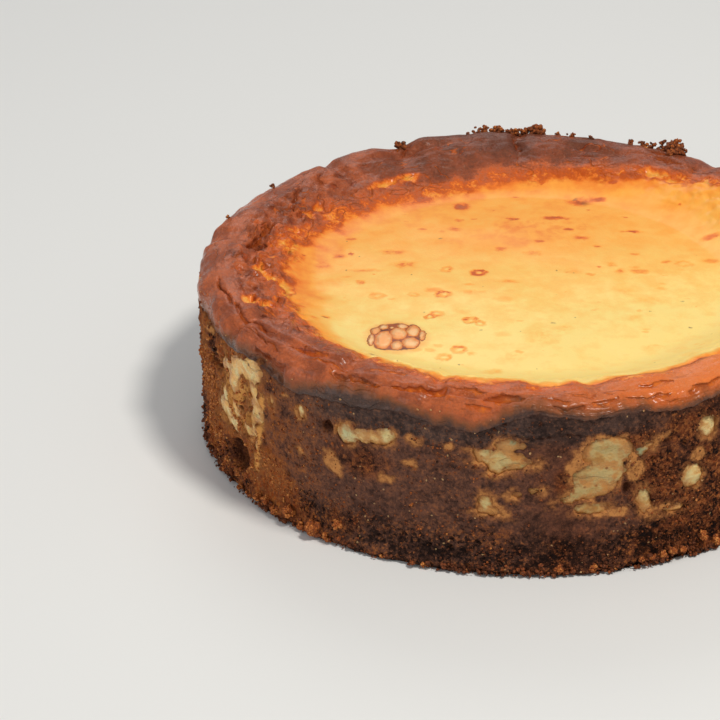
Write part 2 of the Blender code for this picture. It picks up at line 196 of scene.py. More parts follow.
# Holes in the crust: azimuth, height, half width, half height, depth in mm, tilt
HOLES = (
    (-56.6, 12.6, 8.2, 6.0, 4.4, 26),
    (-32.3, 41.8, 2.6, 2.2, 3.0, 0),
    (-64.5, 39.8, 8.0, 2.0, 2.6, 4),
    (-54.0, 36.4, 1.6, 1.6, 2.0, 0),
    (-54.6, 31.4, 1.8, 1.4, 1.8, 0),
    (17.6, 28.6, 1.6, 2.4, 1.4, 0),
    (24.2, 43.2, 2.6, 1.4, 1.6, 30),
    (70.0, 12.0, 3.4, 5.0, 3.6, 10),
    (128.0, 9.0, 4.0, 4.4, 3.6, -12),
    (-140.0, 11.0, 3.6, 5.4, 3.8, 8),
    (176.0, 8.0, 3.0, 3.4, 3.2, 0),
)

# Marks that bubbles left on the dish: place in mm, half sizes in mm, strength
RING_MARKS = (
    (-25.6, 6.4, 2.6, 2.6, 0.34), (-25.7, -13.6, 3.0, 3.0, 0.46), (-27.4, -28.4, 2.5, 2.6, 0.36),
    (-30.0, -30.6, 1.8, 2.0, 0.40), (-48.1, -15.5, 3.0, 2.8, 0.20), (-14.5, 3.8, 3.1, 3.2, 0.40),
    (-16.4, -33.0, 2.6, 2.8, 0.40), (-13.0, -35.4, 2.2, 2.4, 0.36), (-19.4, -54.6, 2.7, 3.2, 0.44),
    (-24.0, -59.6, 2.9, 2.8, 0.34), (56.2, 13.4, 3.2, 3.2, 0.16), (-36.0, -14.0, 2.2, 2.0, 0.14),
)  # fmt: skip
SPOT_MARKS = (
    (-69.3, 7.5, 5.4, 3.0, 0.24), (-63.2, 14.6, 2.8, 2.6, 0.28), (-54.1, 4.5, 9.0, 1.5, 0.20),
    (-45.8, 19.7, 6.4, 2.6, 0.30), (-40.2, 10.0, 6.4, 3.4, 0.30), (-3.1, 47.9, 3.6, 1.5, 0.40),
    (14.6, 49.6, 4.4, 2.0, 0.30), (-16.5, -11.6, 5.6, 2.0, 0.24), (4.1, 20.0, 4.4, 2.4, 0.30),
    (-7.4, 22.9, 3.6, 2.6, 0.24), (38.9, 39.4, 4.6, 1.8, 0.26), (21.0, 33.1, 3.8, 2.2, 0.24),
    (-4.3, -2.7, 5.4, 2.0, 0.20), (-24.1, 38.9, 4.6, 2.2, 0.22), (34.4, -8.3, 5.4, 2.4, 0.12),
    (-59.5, 17.1, 1.2, 1.4, 0.60), (-54.6, -5.1, 2.0, 2.0, 0.52), (-22.2, 60.1, 3.9, 4.4, 0.46),
    (31.4, 11.4, 2.4, 2.0, 0.28), (33.8, 6.9, 2.6, 2.2, 0.26), (-15.3, -57.3, 1.8, 1.8, 0.26),
    (26.3, 26.3, 2.0, 2.0, 0.24), (-22.5, 46.8, 2.0, 2.2, 0.24), (8.8, -43.9, 8.0, 7.4, 0.13),
    (14.0, -37.0, 5.0, 2.6, 0.12), (-1.7, -58.6, 5.6, 4.4, 0.10), (37.0, -28.6, 4.2, 3.6, 0.13),
    (42.7, -50.3, 5.0, 3.4, 0.12), (17.3, 6.5, 4.2, 3.4, 0.13), (43.0, -14.9, 6.6, 3.2, 0.10),
    (3.0, 41.0, 30.0, 11.0, 0.11), (-30.0, 40.0, 24.0, 7.0, 0.05), (21.2, 65.1, 5.6, 5.4, 0.34),
    (-8.0, -70.0, 4.0, 2.6, 0.16), (-64.0, -34.0, 2.0, 1.4, 0.36), (-63.0, -5.0, 4.0, 5.0, 0.12),
)  # fmt: skip
DARK_MARKS = (
    (-60.1, 4.4, 0.7, 0.8, 0.7), (-28.4, 31.6, 0.8, 0.9, 0.7), (10.8, -33.3, 0.8, 0.9, 0.6),
    (54.2, -15.5, 0.7, 0.8, 0.5), (-32.2, -27.4, 0.5, 0.6, 0.5), (22.4, 64.0, 2.4, 2.6, 0.7),
    (19.2, 67.4, 1.2, 1.4, 0.6), (-64.6, -34.6, 1.3, 0.7, 0.7), (-46.0, -72.0, 1.6, 1.4, 0.8),
)  # fmt: skip

# The foam blister: its place and half sizes in mm, and its bubbles from there with their half sizes
BLISTER = (-39.9, -47.0, 9.3, 10.2)
BUBBLES = (
    (-4.1, -3.2, 3.2, 6.6), (0.7, 1.4, 2.9, 4.9), (5.2, 4.3, 2.5, 5.1), (4.8, -4.3, 3.0, 3.8),
    (0.5, -6.4, 2.1, 3.1), (-7.1, 3.6, 1.7, 2.9), (-4.6, 6.1, 1.8, 2.5), (1.4, 7.4, 1.8, 2.3),
    (-8.2, -2.8, 1.2, 4.3), (8.3, 1.2, 1.1, 3.8), (-1.9, 5.6, 0.9, 1.2),
)  # fmt: skip

# Azimuth and radius in mm of the pale custard's edge
PALE_EDGE = (
    (-180.0, 77.0), (-168.0, 74.5), (-152.0, 70.5), (-135.0, 72.5), (-115.0, 74.5), (-90.0, 76.0),
    (-72.0, 78.0), (-50.0, 84.0), (-33.0, 91.0), (-20.0, 94.5), (-8.0, 96.5), (10.0, 97.0),
    (30.0, 96.0), (60.0, 92.0), (100.0, 90.0), (131.0, 91.0), (145.0, 87.5), (159.0, 81.5),
    (175.0, 78.0), (180.0, 77.0),
)  # fmt: skip

# Crumbs stuck on the rim: azimuth, radius, spread and count
CRUMB_HEAPS = (
    (145.6, 0.1050, 0.0016, 22),
    (147.8, 0.1052, 0.0026, 60),
    (150.2, 0.1054, 0.0017, 26),
    (152.8, 0.1056, 0.0014, 18),
    (155.0, 0.1056, 0.0012, 12),
    (157.6, 0.1056, 0.0011, 10),
    (165.6, 0.1056, 0.0011, 8),
    (169.8, 0.1056, 0.0012, 10),
    (173.2, 0.1056, 0.0010, 8),
    (177.4, 0.1056, 0.0023, 50),
    (179.8, 0.1056, 0.0016, 28),
    (-178.8, 0.1056, 0.0013, 18),
    (-177.2, 0.1056, 0.0016, 28),
    (-175.2, 0.1056, 0.0017, 32),
    (-173.4, 0.1056, 0.0014, 22),
    (-171.8, 0.1056, 0.0016, 28),
    (-170.2, 0.1056, 0.0013, 18),
    (-168.4, 0.1056, 0.0010, 10),
    (-153.6, 0.1056, 0.0017, 22),
    (-121.0, 0.1070, 0.0010, 6),
    (-104.0, 0.1076, 0.0009, 5),
    (70.0, 0.1068, 0.0014, 12),
    (118.0, 0.1064, 0.0016, 16),
)

# Clumps of crumb at the foot: azimuth, height in mm, spread in mm, count
FOOT_CLUMPS = (
    (-44.5, 2.6, 1.6, 34), (-47.0, 4.6, 1.6, 30), (-41.0, 5.2, 2.0, 44), (-38.4, 1.8, 1.5, 28),
    (-35.4, 3.2, 2.7, 80), (-33.0, 1.6, 1.6, 26), (-30.6, 7.6, 1.6, 24), (-49.6, 3.4, 1.6, 26),
    (-52.4, 2.0, 1.3, 20), (-55.6, 1.4, 1.2, 16), (-62.0, 2.6, 1.3, 18), (-70.0, 5.0, 1.1, 14),
    (-22.4, 1.0, 0.9, 10), (-15.0, 1.2, 1.0, 12), (-8.0, 0.9, 0.8, 8), (-3.6, 2.6, 1.2, 16),
    (1.0, 1.2, 0.9, 10), (6.8, 2.6, 1.4, 24), (12.3, 2.2, 1.5, 28), (16.0, 1.0, 0.9, 10),
    (20.6, 2.6, 1.0, 18), (22.4, 3.0, 1.1, 22), (24.2, 3.1, 1.2, 24), (26.0, 3.4, 1.3, 26),
    (27.8, 3.4, 1.3, 26), (31.6, 6.0, 1.6, 26), (34.4, 3.0, 1.6, 28), (38.0, 2.2, 1.3, 20),
)  # fmt: skip


def measure(name, description, default, subtype="DISTANCE"):
    return bpy.props.FloatProperty(name=name, description=description, default=default, subtype=subtype)


def whole(name, description, default):
    return bpy.props.IntProperty(name=name, description=description, default=default)


def colour(name, description, default):
    return bpy.props.FloatVectorProperty(
        name=name,
        description=description,
        default=default,
        size=4,
        min=0.0,
        max=1.0,
        subtype="COLOR",
    )


class CHEESECAKE_PG_sizes(bpy.types.PropertyGroup):
    """Sizes of the cake and its crumbs."""

    cake_radius: measure("Cake radius", "Radius of the crust's wall", 0.110)
    rim_height: measure("Rim height", "Height of the rim's crest above the base", 0.061)
    crest_radius: measure("Crest radius", "Radius at which the rim is highest", 0.101)
    dish_depth: measure("Dish depth", "How far the middle has sunk below the rim's crest", 0.0115)
    floor_radius: measure("Dish floor radius", "Radius of the flat middle of the dish", 0.068)
    lip_height: measure("Lip height", "Usual height of the browned lip's lower edge", 0.0506)
    base_thickness: measure("Base thickness", "Thickness of the crust under the custard", 0.007)
    turns: whole("Steps round the custard", "Number of steps the custard's outline is turned in", 720)
    crust_turns: whole("Steps round the crust", "Number of steps the crust's outline is turned in", 1024)
    wall_crumbs: whole("Wall crumbs", "Number of grains that stand out of the crust's wall", 9000)
    foot_crumbs: whole("Foot crumbs", "Number of loose crumbs along the foot", 2600)


class CHEESECAKE_PG_colours(bpy.types.PropertyGroup):
    """Colours of the custard, its skin and the crumb."""

    pale: colour("Pale custard", "Custard at the front of the dish", (0.97, 0.715, 0.222, 1))
    creamy: colour("Warm custard", "Custard in the middle of the dish", (0.97, 0.560, 0.126, 1))
    golden: colour("Golden custard", "Custard at the back of the dish", (0.97, 0.395, 0.053, 1))
    amber: colour("Amber skin", "Where the custard turns to skin", (0.86, 0.205, 0.022, 1))
    rusty: colour("Rusty skin", "The first of the browned skin", (0.58, 0.098, 0.010, 1))
    russet: colour("Russet skin", "The lighter browned skin", (0.53, 0.126, 0.040, 1))
    brown: colour("Brown skin", "The usual browned skin", (0.30, 0.071, 0.027, 1))
    scorched: colour("Scorched skin", "The darkest skin", (0.145, 0.041, 0.020, 1))
    split: colour("Split skin", "Inside a split of the skin", (0.50, 0.085, 0.006, 1))
    bare: colour("Bare custard", "Custard under lifted skin", (0.95, 0.40, 0.060, 1))
    burnt: colour("Burnt edge", "Lower edge of the lip", (0.064, 0.036, 0.030, 1))
    curd: colour("Side custard", "Custard that shows at the side", (0.80, 0.61, 0.27, 1))
    crumb_black: colour("Black crumb", "The darkest crumb", (0.014, 0.007, 0.006, 1))
    crumb_dark: colour("Dark crumb", "Dark crumb", (0.058, 0.029, 0.022, 1))
    crumb_mid: colour("Plain crumb", "The usual crumb", (0.155, 0.072, 0.050, 1))
    crumb_brown: colour("Brown crumb", "Lighter crumb", (0.265, 0.110, 0.062, 1))
    crumb_rust: colour("Rust crumb", "Reddish crumb", (0.46, 0.165, 0.052, 1))
    crumb_tan: colour("Tan crumb", "The palest crumb", (0.76, 0.46, 0.20, 1))


class CHEESECAKE_PG_stage(bpy.types.PropertyGroup):
    """Light, floor and view."""

    floor: colour("Floor", "Colour of the floor", (0.80, 0.80, 0.78, 1))
    key_power: measure("Key light", "Power of the key light", 14.7, "POWER")
    fill_power: measure("Fill light", "Power of the fill light", 6.4, "POWER")
    back_power: measure("Back light", "Power of the light behind the cake", 4.0, "POWER")
    sky: measure("Surrounding light", "Strength of the even light from all round", 0.33, "NONE")
    focal_length: measure("Focal length", "Focal length of the camera, in millimetres", 110.0, "NONE")
    camera_place: bpy.props.FloatVectorProperty(
        name="Camera place",
        description="Where the camera stands",
        default=(0.0, -0.6831, 0.37224),
        subtype="TRANSLATION",
    )
    camera_turn: bpy.props.FloatVectorProperty(
        name="Camera turn",
        description="Yaw towards +X, pitch below the horizon and roll of the camera",
        default=(math.radians(-4.67), math.radians(27.42), math.radians(1.17)),
        subtype="EULER",
    )


# Shapes worked out as numbers: a place is a row of x, y, z in an array


def ramp(low, high, value):
    """0 below low, 1 above high, and smooth between them."""
    share = np.clip((value - low) / (high - low), 0.0, 1.0)
    return share * share * (3 - 2 * share)


def bump(distance, half_width):
    return 1 - ramp(0.0, half_width, np.abs(distance))


def turn_between(first, second):
    return (first - second + 180.0) % 360.0 - 180.0


def toward(azimuth, middle, half_width):
    """1 at the middle azimuth, and 0 from the half width on."""
    return bump(turn_between(azimuth, middle), half_width)


def radius_of(places):
    return np.hypot(places[:, 0], places[:, 1])


def azimuth_of(places):
    return np.degrees(np.arctan2(places[:, 0], -places[:, 1]))


def at(azimuth, radius, height):
    turn = np.radians(azimuth)
    return np.stack([radius * np.sin(turn), -radius * np.cos(turn), height + 0 * turn], axis=-1)


def noise_at(places, size, shift=0.0):
    """Smooth noise, about -1 to 1, whose swells are about the given size."""
    return 1.6 * np.array([noise.noise(place) for place in (places / size + shift).tolist()])


def ring_noise(azimuth, waves, layer):
    """Noise along the azimuth that meets itself after a full turn."""
    return noise_at(at(azimuth, waves, layer), 1.0)


def cells_at(places, size, shift=0.0):
    """Distance from the nearest of scattered centres, 0 to about 1."""
    scaled = (places / size + shift).tolist()
    return np.array([noise.voronoi(place)[0][0] for place in scaled])


def ovals(azimuth, height, table):
    """How far inside the nearest of the tilted ovals on the wall each place is, in mm, and below 0 outside.
    Azimuth in degrees, height in metres and the table in mm."""
    inside = np.full(azimuth.shape, -6.0)
    for middle, level, half_width, half_height, tilt in table:
        along = np.radians(turn_between(azimuth, middle)) * (WALL_RADIUS * 1000.0)
        up = height * 1000.0 - level
        near = (np.abs(along) < 28.0) & (np.abs(up) < 28.0)
        lean = math.radians(tilt)
        a = along[near] * math.cos(lean) + up[near] * math.sin(lean)
        b = up[near] * math.cos(lean) - along[near] * math.sin(lean)
        reach = (1 - np.sqrt((a / half_width) ** 2 + (b / half_height) ** 2)) * min(half_width, half_height)
        blend = np.clip(0.5 + 0.5 * (inside[near] - reach) / 0.7, 0, 1)
        inside[near] = reach * (1 - blend) + inside[near] * blend + 0.7 * blend * (1 - blend)
    return inside


def unseen_gaps():
    """Gaps of like size for the sides that the view doesn't show."""
    draw = np.random.default_rng(22)
    table = []
    for step in range(15):
        azimuth = 44.0 + 244.0 / 15 * (step + draw.uniform(0.25, 0.75))
        level = draw.choice((40.5, 36.0, 29.0, 24.0)) + draw.uniform(-2, 2)
        for part in range(draw.integers(2, 5)):
            table.append(
                (
                    azimuth + draw.uniform(-2.4, 2.4) * (part > 0),
                    level + draw.uniform(-4.5, 4.5) * (part > 0),
                    draw.uniform(2.6, 7.0),
                    draw.uniform(1.7, 4.0),
                    draw.uniform(-25, 25),
                )
            )
    return tuple(table)


def gap_field(places):
    """In mm, above 0 where the custard shows at the wall, with a ragged edge."""
    azimuth, height = azimuth_of(places), places[:, 2]
    wall = at(azimuth, WALL_RADIUS, height)
    ragged = 0.42 * noise_at(wall, 0.0021, 3.0) + 0.38 * noise_at(wall, 0.0058, 8.0)
    ragged += 0.9 * toward(azimuth, -56.0, 16.0) * noise_at(wall, 0.0026, 37.0)
    unseen = ramp(44.0, 54.0, np.abs(turn_between(azimuth, -10.0)) - 8.0)
    islands = 1.9 * unseen * ramp(0.48, 0.85, noise_at(wall, 0.0044, 31.0))
    islands += 1.5 * toward(azimuth, -57.0, 10.0) * ramp(0.35, 0.80, noise_at(wall, 0.0030, 35.0))
    return ovals(azimuth, height, GAPS + unseen_gaps()) + ragged - islands


def lip_edge(azimuth):
    """Height of the browned lip's lower edge, in metres."""
    known = np.array(LIP_EDGE)
    sizes = bpy.context.scene.cheesecake_sizes
    seen = np.interp(azimuth, known[:, 0], known[:, 1]) / 1000.0
    plain = sizes.lip_height + 0.0011 * ring_noise(azimuth, 6.0, 1.0)
    share = ramp(76.0, 88.0, np.abs(azimuth - 1.0))
    ragged = 0.0005 * ring_noise(azimuth, 26.0, 4.0) + 0.0003 * ring_noise(azimuth, 70.0, 5.0)
    return seen * (1 - share) + plain * share + ragged


# Modelling steps


def deselect():
    if bpy.context.object and bpy.context.object.mode != "OBJECT":
        bpy.ops.object.mode_set(mode="OBJECT")
    bpy.ops.object.select_all(action="DESELECT")


def turn_outline(name, outline, steps):
    """Draws an outline of (radius, height) pairs corner by corner and turns it into a closed piece."""
    deselect()
    bpy.ops.mesh.primitive_plane_add(size=0.001, location=(0, 0, 0))
    piece = bpy.context.object
    piece.name = piece.data.name = name
    bpy.ops.object.mode_set(mode="EDIT")
    bpy.ops.mesh.select_all(action="SELECT")
    bpy.ops.mesh.merge(type="CENTER")
    bpy.ops.transform.translate(value=(0, -outline[0][0], outline[0][1]))
    for before, after in zip(outline, outline[1:]):
        step = (0, before[0] - after[0], after[1] - before[1])
        bpy.ops.mesh.extrude_region_move(TRANSFORM_OT_translate={"value": step})
    bpy.ops.object.mode_set(mode="OBJECT")
    bpy.ops.object.modifier_add(type="SCREW")
    turning = piece.modifiers[-1]
    turning.steps = turning.render_steps = steps
    bpy.ops.object.modifier_apply(modifier=turning.name)
    bpy.ops.object.mode_set(mode="EDIT")
    bpy.ops.mesh.select_all(action="SELECT")
    bpy.ops.mesh.remove_doubles(threshold=1e-6)
    bpy.ops.mesh.normals_make_consistent(inside=False)
    bpy.ops.object.mode_set(mode="OBJECT")
    bpy.ops.object.shade_smooth()
    return piece


def places_of(mesh):
    found = np.empty(len(mesh.vertices) * 3)
    mesh.vertices.foreach_get("co", found)
    return found.reshape(-1, 3)


def normals_of(mesh):
    found = np.empty(len(mesh.vertices) * 3)
    mesh.vertex_normals.foreach_get("vector", found)
    return found.reshape(-1, 3)


def move_to(mesh, places):
    mesh.vertices.foreach_set("co", places.ravel())
    mesh.update()


def store(mesh, name, values):
    layer = mesh.attributes.new(name, "FLOAT", "POINT")
    layer.data.foreach_set("value", np.asarray(values, dtype=np.float32))


def finish_piece(piece, material, node=None):
    piece.data.materials.clear()
    piece.data.materials.append(material)
    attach(piece, "root")
    if node:
        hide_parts(node)


class Value:
    """A number, place or colour in a material: each sum or product with it adds a node."""

    def __init__(self, finish, socket):
        self.socket = socket
        self.work = finish.math if socket.type == "VALUE" else finish.vector

    def __add__(self, other):
        return self.work("ADD", self, other)

    def __radd__(self, other):
        return self.work("ADD", other, self)

    def __sub__(self, other):
        return self.work("SUBTRACT", self, other)

    def __mul__(self, other):
        return self.work("MULTIPLY", self, other)

    def __truediv__(self, other):
        return self.work("DIVIDE", self, other)

    def __abs__(self):
        return self.work("ABSOLUTE", self)


class Finish:
    """A material, and short ways to add nodes to it."""

    def __init__(self, name):
        self.material = bpy.data.materials.new(name)
        self.material.use_nodes = True
        self.tree = self.material.node_tree
        self.shader = self.tree.nodes["Principled BSDF"]
        self.place = Value(self, self.add("ShaderNodeTexCoord").outputs["Object"])

    def add(self, kind, **settings):
        node = self.tree.nodes.new(kind)
        for name, value in settings.items():
            setattr(node, name, value)
        return node

    def join(self, source, socket):
        if isinstance(source, Value):
            self.tree.links.new(source.socket, socket)
        else:
            socket.default_value = source

    def math(self, operation, first, second=0.0):
        node = self.add("ShaderNodeMath", operation=operation)
        self.join(first, node.inputs[0])
        self.join(second, node.inputs[1])
        return Value(self, node.outputs[0])

    def vector(self, operation, first, second=(0.0, 0.0, 0.0)):
        node = self.add("ShaderNodeVectorMath", operation=operation)
        self.join(first, node.inputs[0])
        self.join(second, node.inputs[1])
        return Value(self, node.outputs["Value" if operation == "LENGTH" else "Vector"])

    def fade(self, value, low, high, start=0.0, end=1.0):
        node = self.add("ShaderNodeMapRange", interpolation_type="SMOOTHSTEP")
        for source, socket in zip((value, low, high, start, end), node.inputs):
            self.join(source, socket)
        return Value(self, node.outputs[0])

    def mix(self, share, first, second, blend="MIX"):
        node = self.add("ShaderNodeMix", data_type="RGBA", blend_type=blend)
        self.join(share, node.inputs["Factor"])
        self.join(first, node.inputs[6])
        self.join(second, node.inputs[7])
        return Value(self, node.outputs[2])

    def noise(self, size, detail=2.0, place=None, roughness=0.5):
        node = self.add("ShaderNodeTexNoise")
        self.join(place or self.place, node.inputs["Vector"])
        node.inputs["Scale"].default_value = 1.0 / size
        node.inputs["Detail"].default_value = detail
        node.inputs["Roughness"].default_value = roughness
        return Value(self, node.outputs["Fac"])

    def grain(self, size, detail=2.0, place=None, roughness=0.5):
        """Noise spread over the whole of 0 to 1."""
        return self.fade(self.noise(size, detail, place, roughness), 0.30, 0.70)

    def sway(self, place, waves, reach):
        """A shift to and fro, of a reach in metres, with so many waves per metre."""
        node = self.add("ShaderNodeTexNoise")
        self.join(place, node.inputs["Vector"])
        node.inputs["Scale"].default_value = waves
        return (Value(self, node.outputs["Color"]) - (0.5, 0.5, 0.5)) * reach

    def cells(self, size, feature="F1", place=None):
        """Distance from the nearest of scattered centres, and three numbers drawn for each centre."""
        node = self.add("ShaderNodeTexVoronoi", feature=feature)
        self.join(place or self.place, node.inputs["Vector"])
        node.inputs["Scale"].default_value = 1.0 / size
        drawn = self.add("ShaderNodeSeparateColor")
        self.join(Value(self, node.outputs["Color"]), drawn.inputs[0])
        return Value(self, node.outputs["Distance"]), [Value(self, part) for part in drawn.outputs]

    def attribute(self, name):
        return Value(self, self.add("ShaderNodeAttribute", attribute_name=name).outputs["Fac"])

    def colours(self, value, stops):
        node = self.add("ShaderNodeValToRGB")
        self.join(value, node.inputs["Fac"])
        bar = node.color_ramp.elements
        bar[0].position, bar[0].color = stops[0]
        bar[1].position, bar[1].color = stops[-1]
        for position, shade in stops[1:-1]:
            bar.new(position).color = shade
        return Value(self, node.outputs["Color"])

    def relief(self, height):
        """Bump of a height in metres."""
        node = self.add("ShaderNodeBump")
        node.inputs["Strength"].default_value = 1.0
        node.inputs["Distance"].default_value = 1.0
        self.join(height, node.inputs["Height"])
        self.tree.links.new(node.outputs["Normal"], self.shader.inputs["Normal"])

    def set(self, **values):
        for name, value in values.items():
            self.join(value, self.shader.inputs[name.replace("_", " ")])


def marks(finish, table, ring):
    """The strength of the strongest mark at a place, each a ring or a soft spot."""
    strongest = None
    for x, y, across, along, strength in table:
        away = finish.warped - (x / 1000, y / 1000, 0)
        away *= (1000 / across, 1000 / along, 0)
        distance = finish.vector("LENGTH", away)
        if ring:
            distance = abs(distance - 0.66)
            shown = finish.fade(distance, 0.05, 0.52, strength, 0.0)
        else:
            shown = finish.fade(distance, 0.05, 1.15, strength, 0.0)
        strongest = shown if strongest is None else finish.math("MAXIMUM", strongest, shown)
    return strongest


def freckles(finish, on_dish):
    """Faint orange dashes all over the dish, more of them at the back."""
    drawn = finish.warped * (0.60, 1.0, 0.0)
    total = None
    for size, share, strength in ((0.0084, 0.20, 0.34), (0.0050, 0.36, 0.28)):
        away, pick = finish.cells(size, place=drawn)
        reach = finish.fade(pick[1], 0.1, 1.0, 0.10, 0.34)
        dot = finish.fade(away / reach, 0.35, 1.0, 1.0, 0.0)
        chosen = finish.fade(pick[0], share, 1.0, 0.0, strength)
        dot *= chosen
        total = dot if total is None else finish.math("MAXIMUM", total, dot)
    place = finish.add("ShaderNodeSeparateXYZ")
    finish.join(finish.place, place.inputs[0])
    back = finish.fade(Value(finish, place.outputs["Y"]), -0.055, 0.045, 0.45, 1.0)
    return total * back * on_dish


def blister(finish, base, flat):
    """Foam bubbles in thin brown outlines, and how far they rise."""
    x, y, across, along = BLISTER
    away = finish.warped - (x / 1000, y / 1000, 0)
    distance = finish.vector("LENGTH", away * (1000 / across, 1000 / along, 0))
    local = flat + finish.sway(flat, 420.0, (0.0016, 0.0022, 0.0))
    nearest = None
    for dx, dy, half_width, half_height in BUBBLES:
        away = local - ((x + dx) / 1000, (y + dy) / 1000, 0)
        away *= (1000 / half_width, 1000 / half_height, 0)
        reach = finish.vector("LENGTH", away)
        nearest = reach if nearest is None else finish.math("MINIMUM", nearest, reach)
    inside = finish.fade(distance, 0.86, 0.98, 1.0, 0.0)
    inside = finish.math("MAXIMUM", inside, finish.fade(nearest, 0.98, 1.10, 1.0, 0.0))
    light = finish.noise(0.0042, 2.0)
    dome = finish.mix(finish.fade(light, 0.38, 0.62), (0.93, 0.40, 0.13, 1), (0.96, 0.56, 0.26, 1))
    dome = finish.mix(finish.fade(nearest, 0.60, 0.84), dome, (0.86, 0.27, 0.055, 1))
    seam = finish.mix(finish.fade(light, 0.36, 0.52), (0.13, 0.032, 0.018, 1), (0.36, 0.080, 0.018, 1))
    pattern = finish.mix(finish.fade(nearest, 0.82, 0.97), dome, seam)
    base = finish.mix(finish.fade(distance, 0.95, 1.30, 0.55, 0.0), base, (0.94, 0.36, 0.07, 1))
    base = finish.mix(inside, base, pattern)
    rise = finish.fade(nearest, 0.35, 1.0, 0.0009, 0.0) * inside
    return base, rise


def side_custard(finish):
    """Cream where the custard shows through the crust, stained brown at its edges and in its veins."""
    shades = bpy.context.scene.cheesecake_colours
    low = finish.place * (1.0, 1.0, 1.6)
    curd = finish.colours(
        finish.grain(0.0056, 3.0, place=low),
        (
            (0.0, (0.62, 0.46, 0.18, 1)),
            (0.25, (0.74, 0.57, 0.25, 1)),
            (0.50, shades.curd),
            (0.74, (0.82, 0.55, 0.21, 1)),
            (1.0, (0.66, 0.33, 0.09, 1)),
        ),
    )
    curd = finish.mix(finish.attribute("greenish"), curd, (0.40, 0.49, 0.29, 1))
    # Painted shade: the custard in the gaps towards the front is multiplied darker, as if in shadow
    curd = finish.mix(finish.attribute("painted_front_shade"), curd, (0.64, 0.60, 0.54, 1), "MULTIPLY")
    patchy = finish.fade(finish.grain(0.0038, 3.0), 0.15, 0.62)
    toasted = finish.attribute("toasted") * patchy
    curd = finish.mix(toasted * 0.75, curd, (0.84, 0.42, 0.10, 1))
    ragged = finish.grain(0.0018, 3.0, roughness=0.6) - 0.5
    edge = finish.attribute("gap_edge") + ragged * 1.3
    stained = finish.grain(0.0070, 2.0) - 0.45
    soft_edge = edge - stained * 3.2
    curd = finish.mix(finish.fade(soft_edge, -0.2, 2.2, 0.85, 0.0), curd, (0.54, 0.225, 0.056, 1))
    curd = finish.mix(finish.fade(edge, -0.6, 0.8, 0.90, 0.0), curd, (0.33, 0.112, 0.030, 1))
    vein = finish.noise(0.0036, 4.0, place=low, roughness=0.7)
    vein = abs(vein - 0.60)
    curd = finish.mix(finish.fade(vein, 0.004, 0.020, 0.6, 0.0), curd, (0.42, 0.165, 0.042, 1))
    away, pick = finish.cells(0.0034)
    speck = finish.fade(away, 0.08, 0.20, 0.85, 0.0)
    speck *= finish.fade(pick[0], 0.66, 0.70)
    return finish.mix(speck, curd, (0.24, 0.075, 0.018, 1))


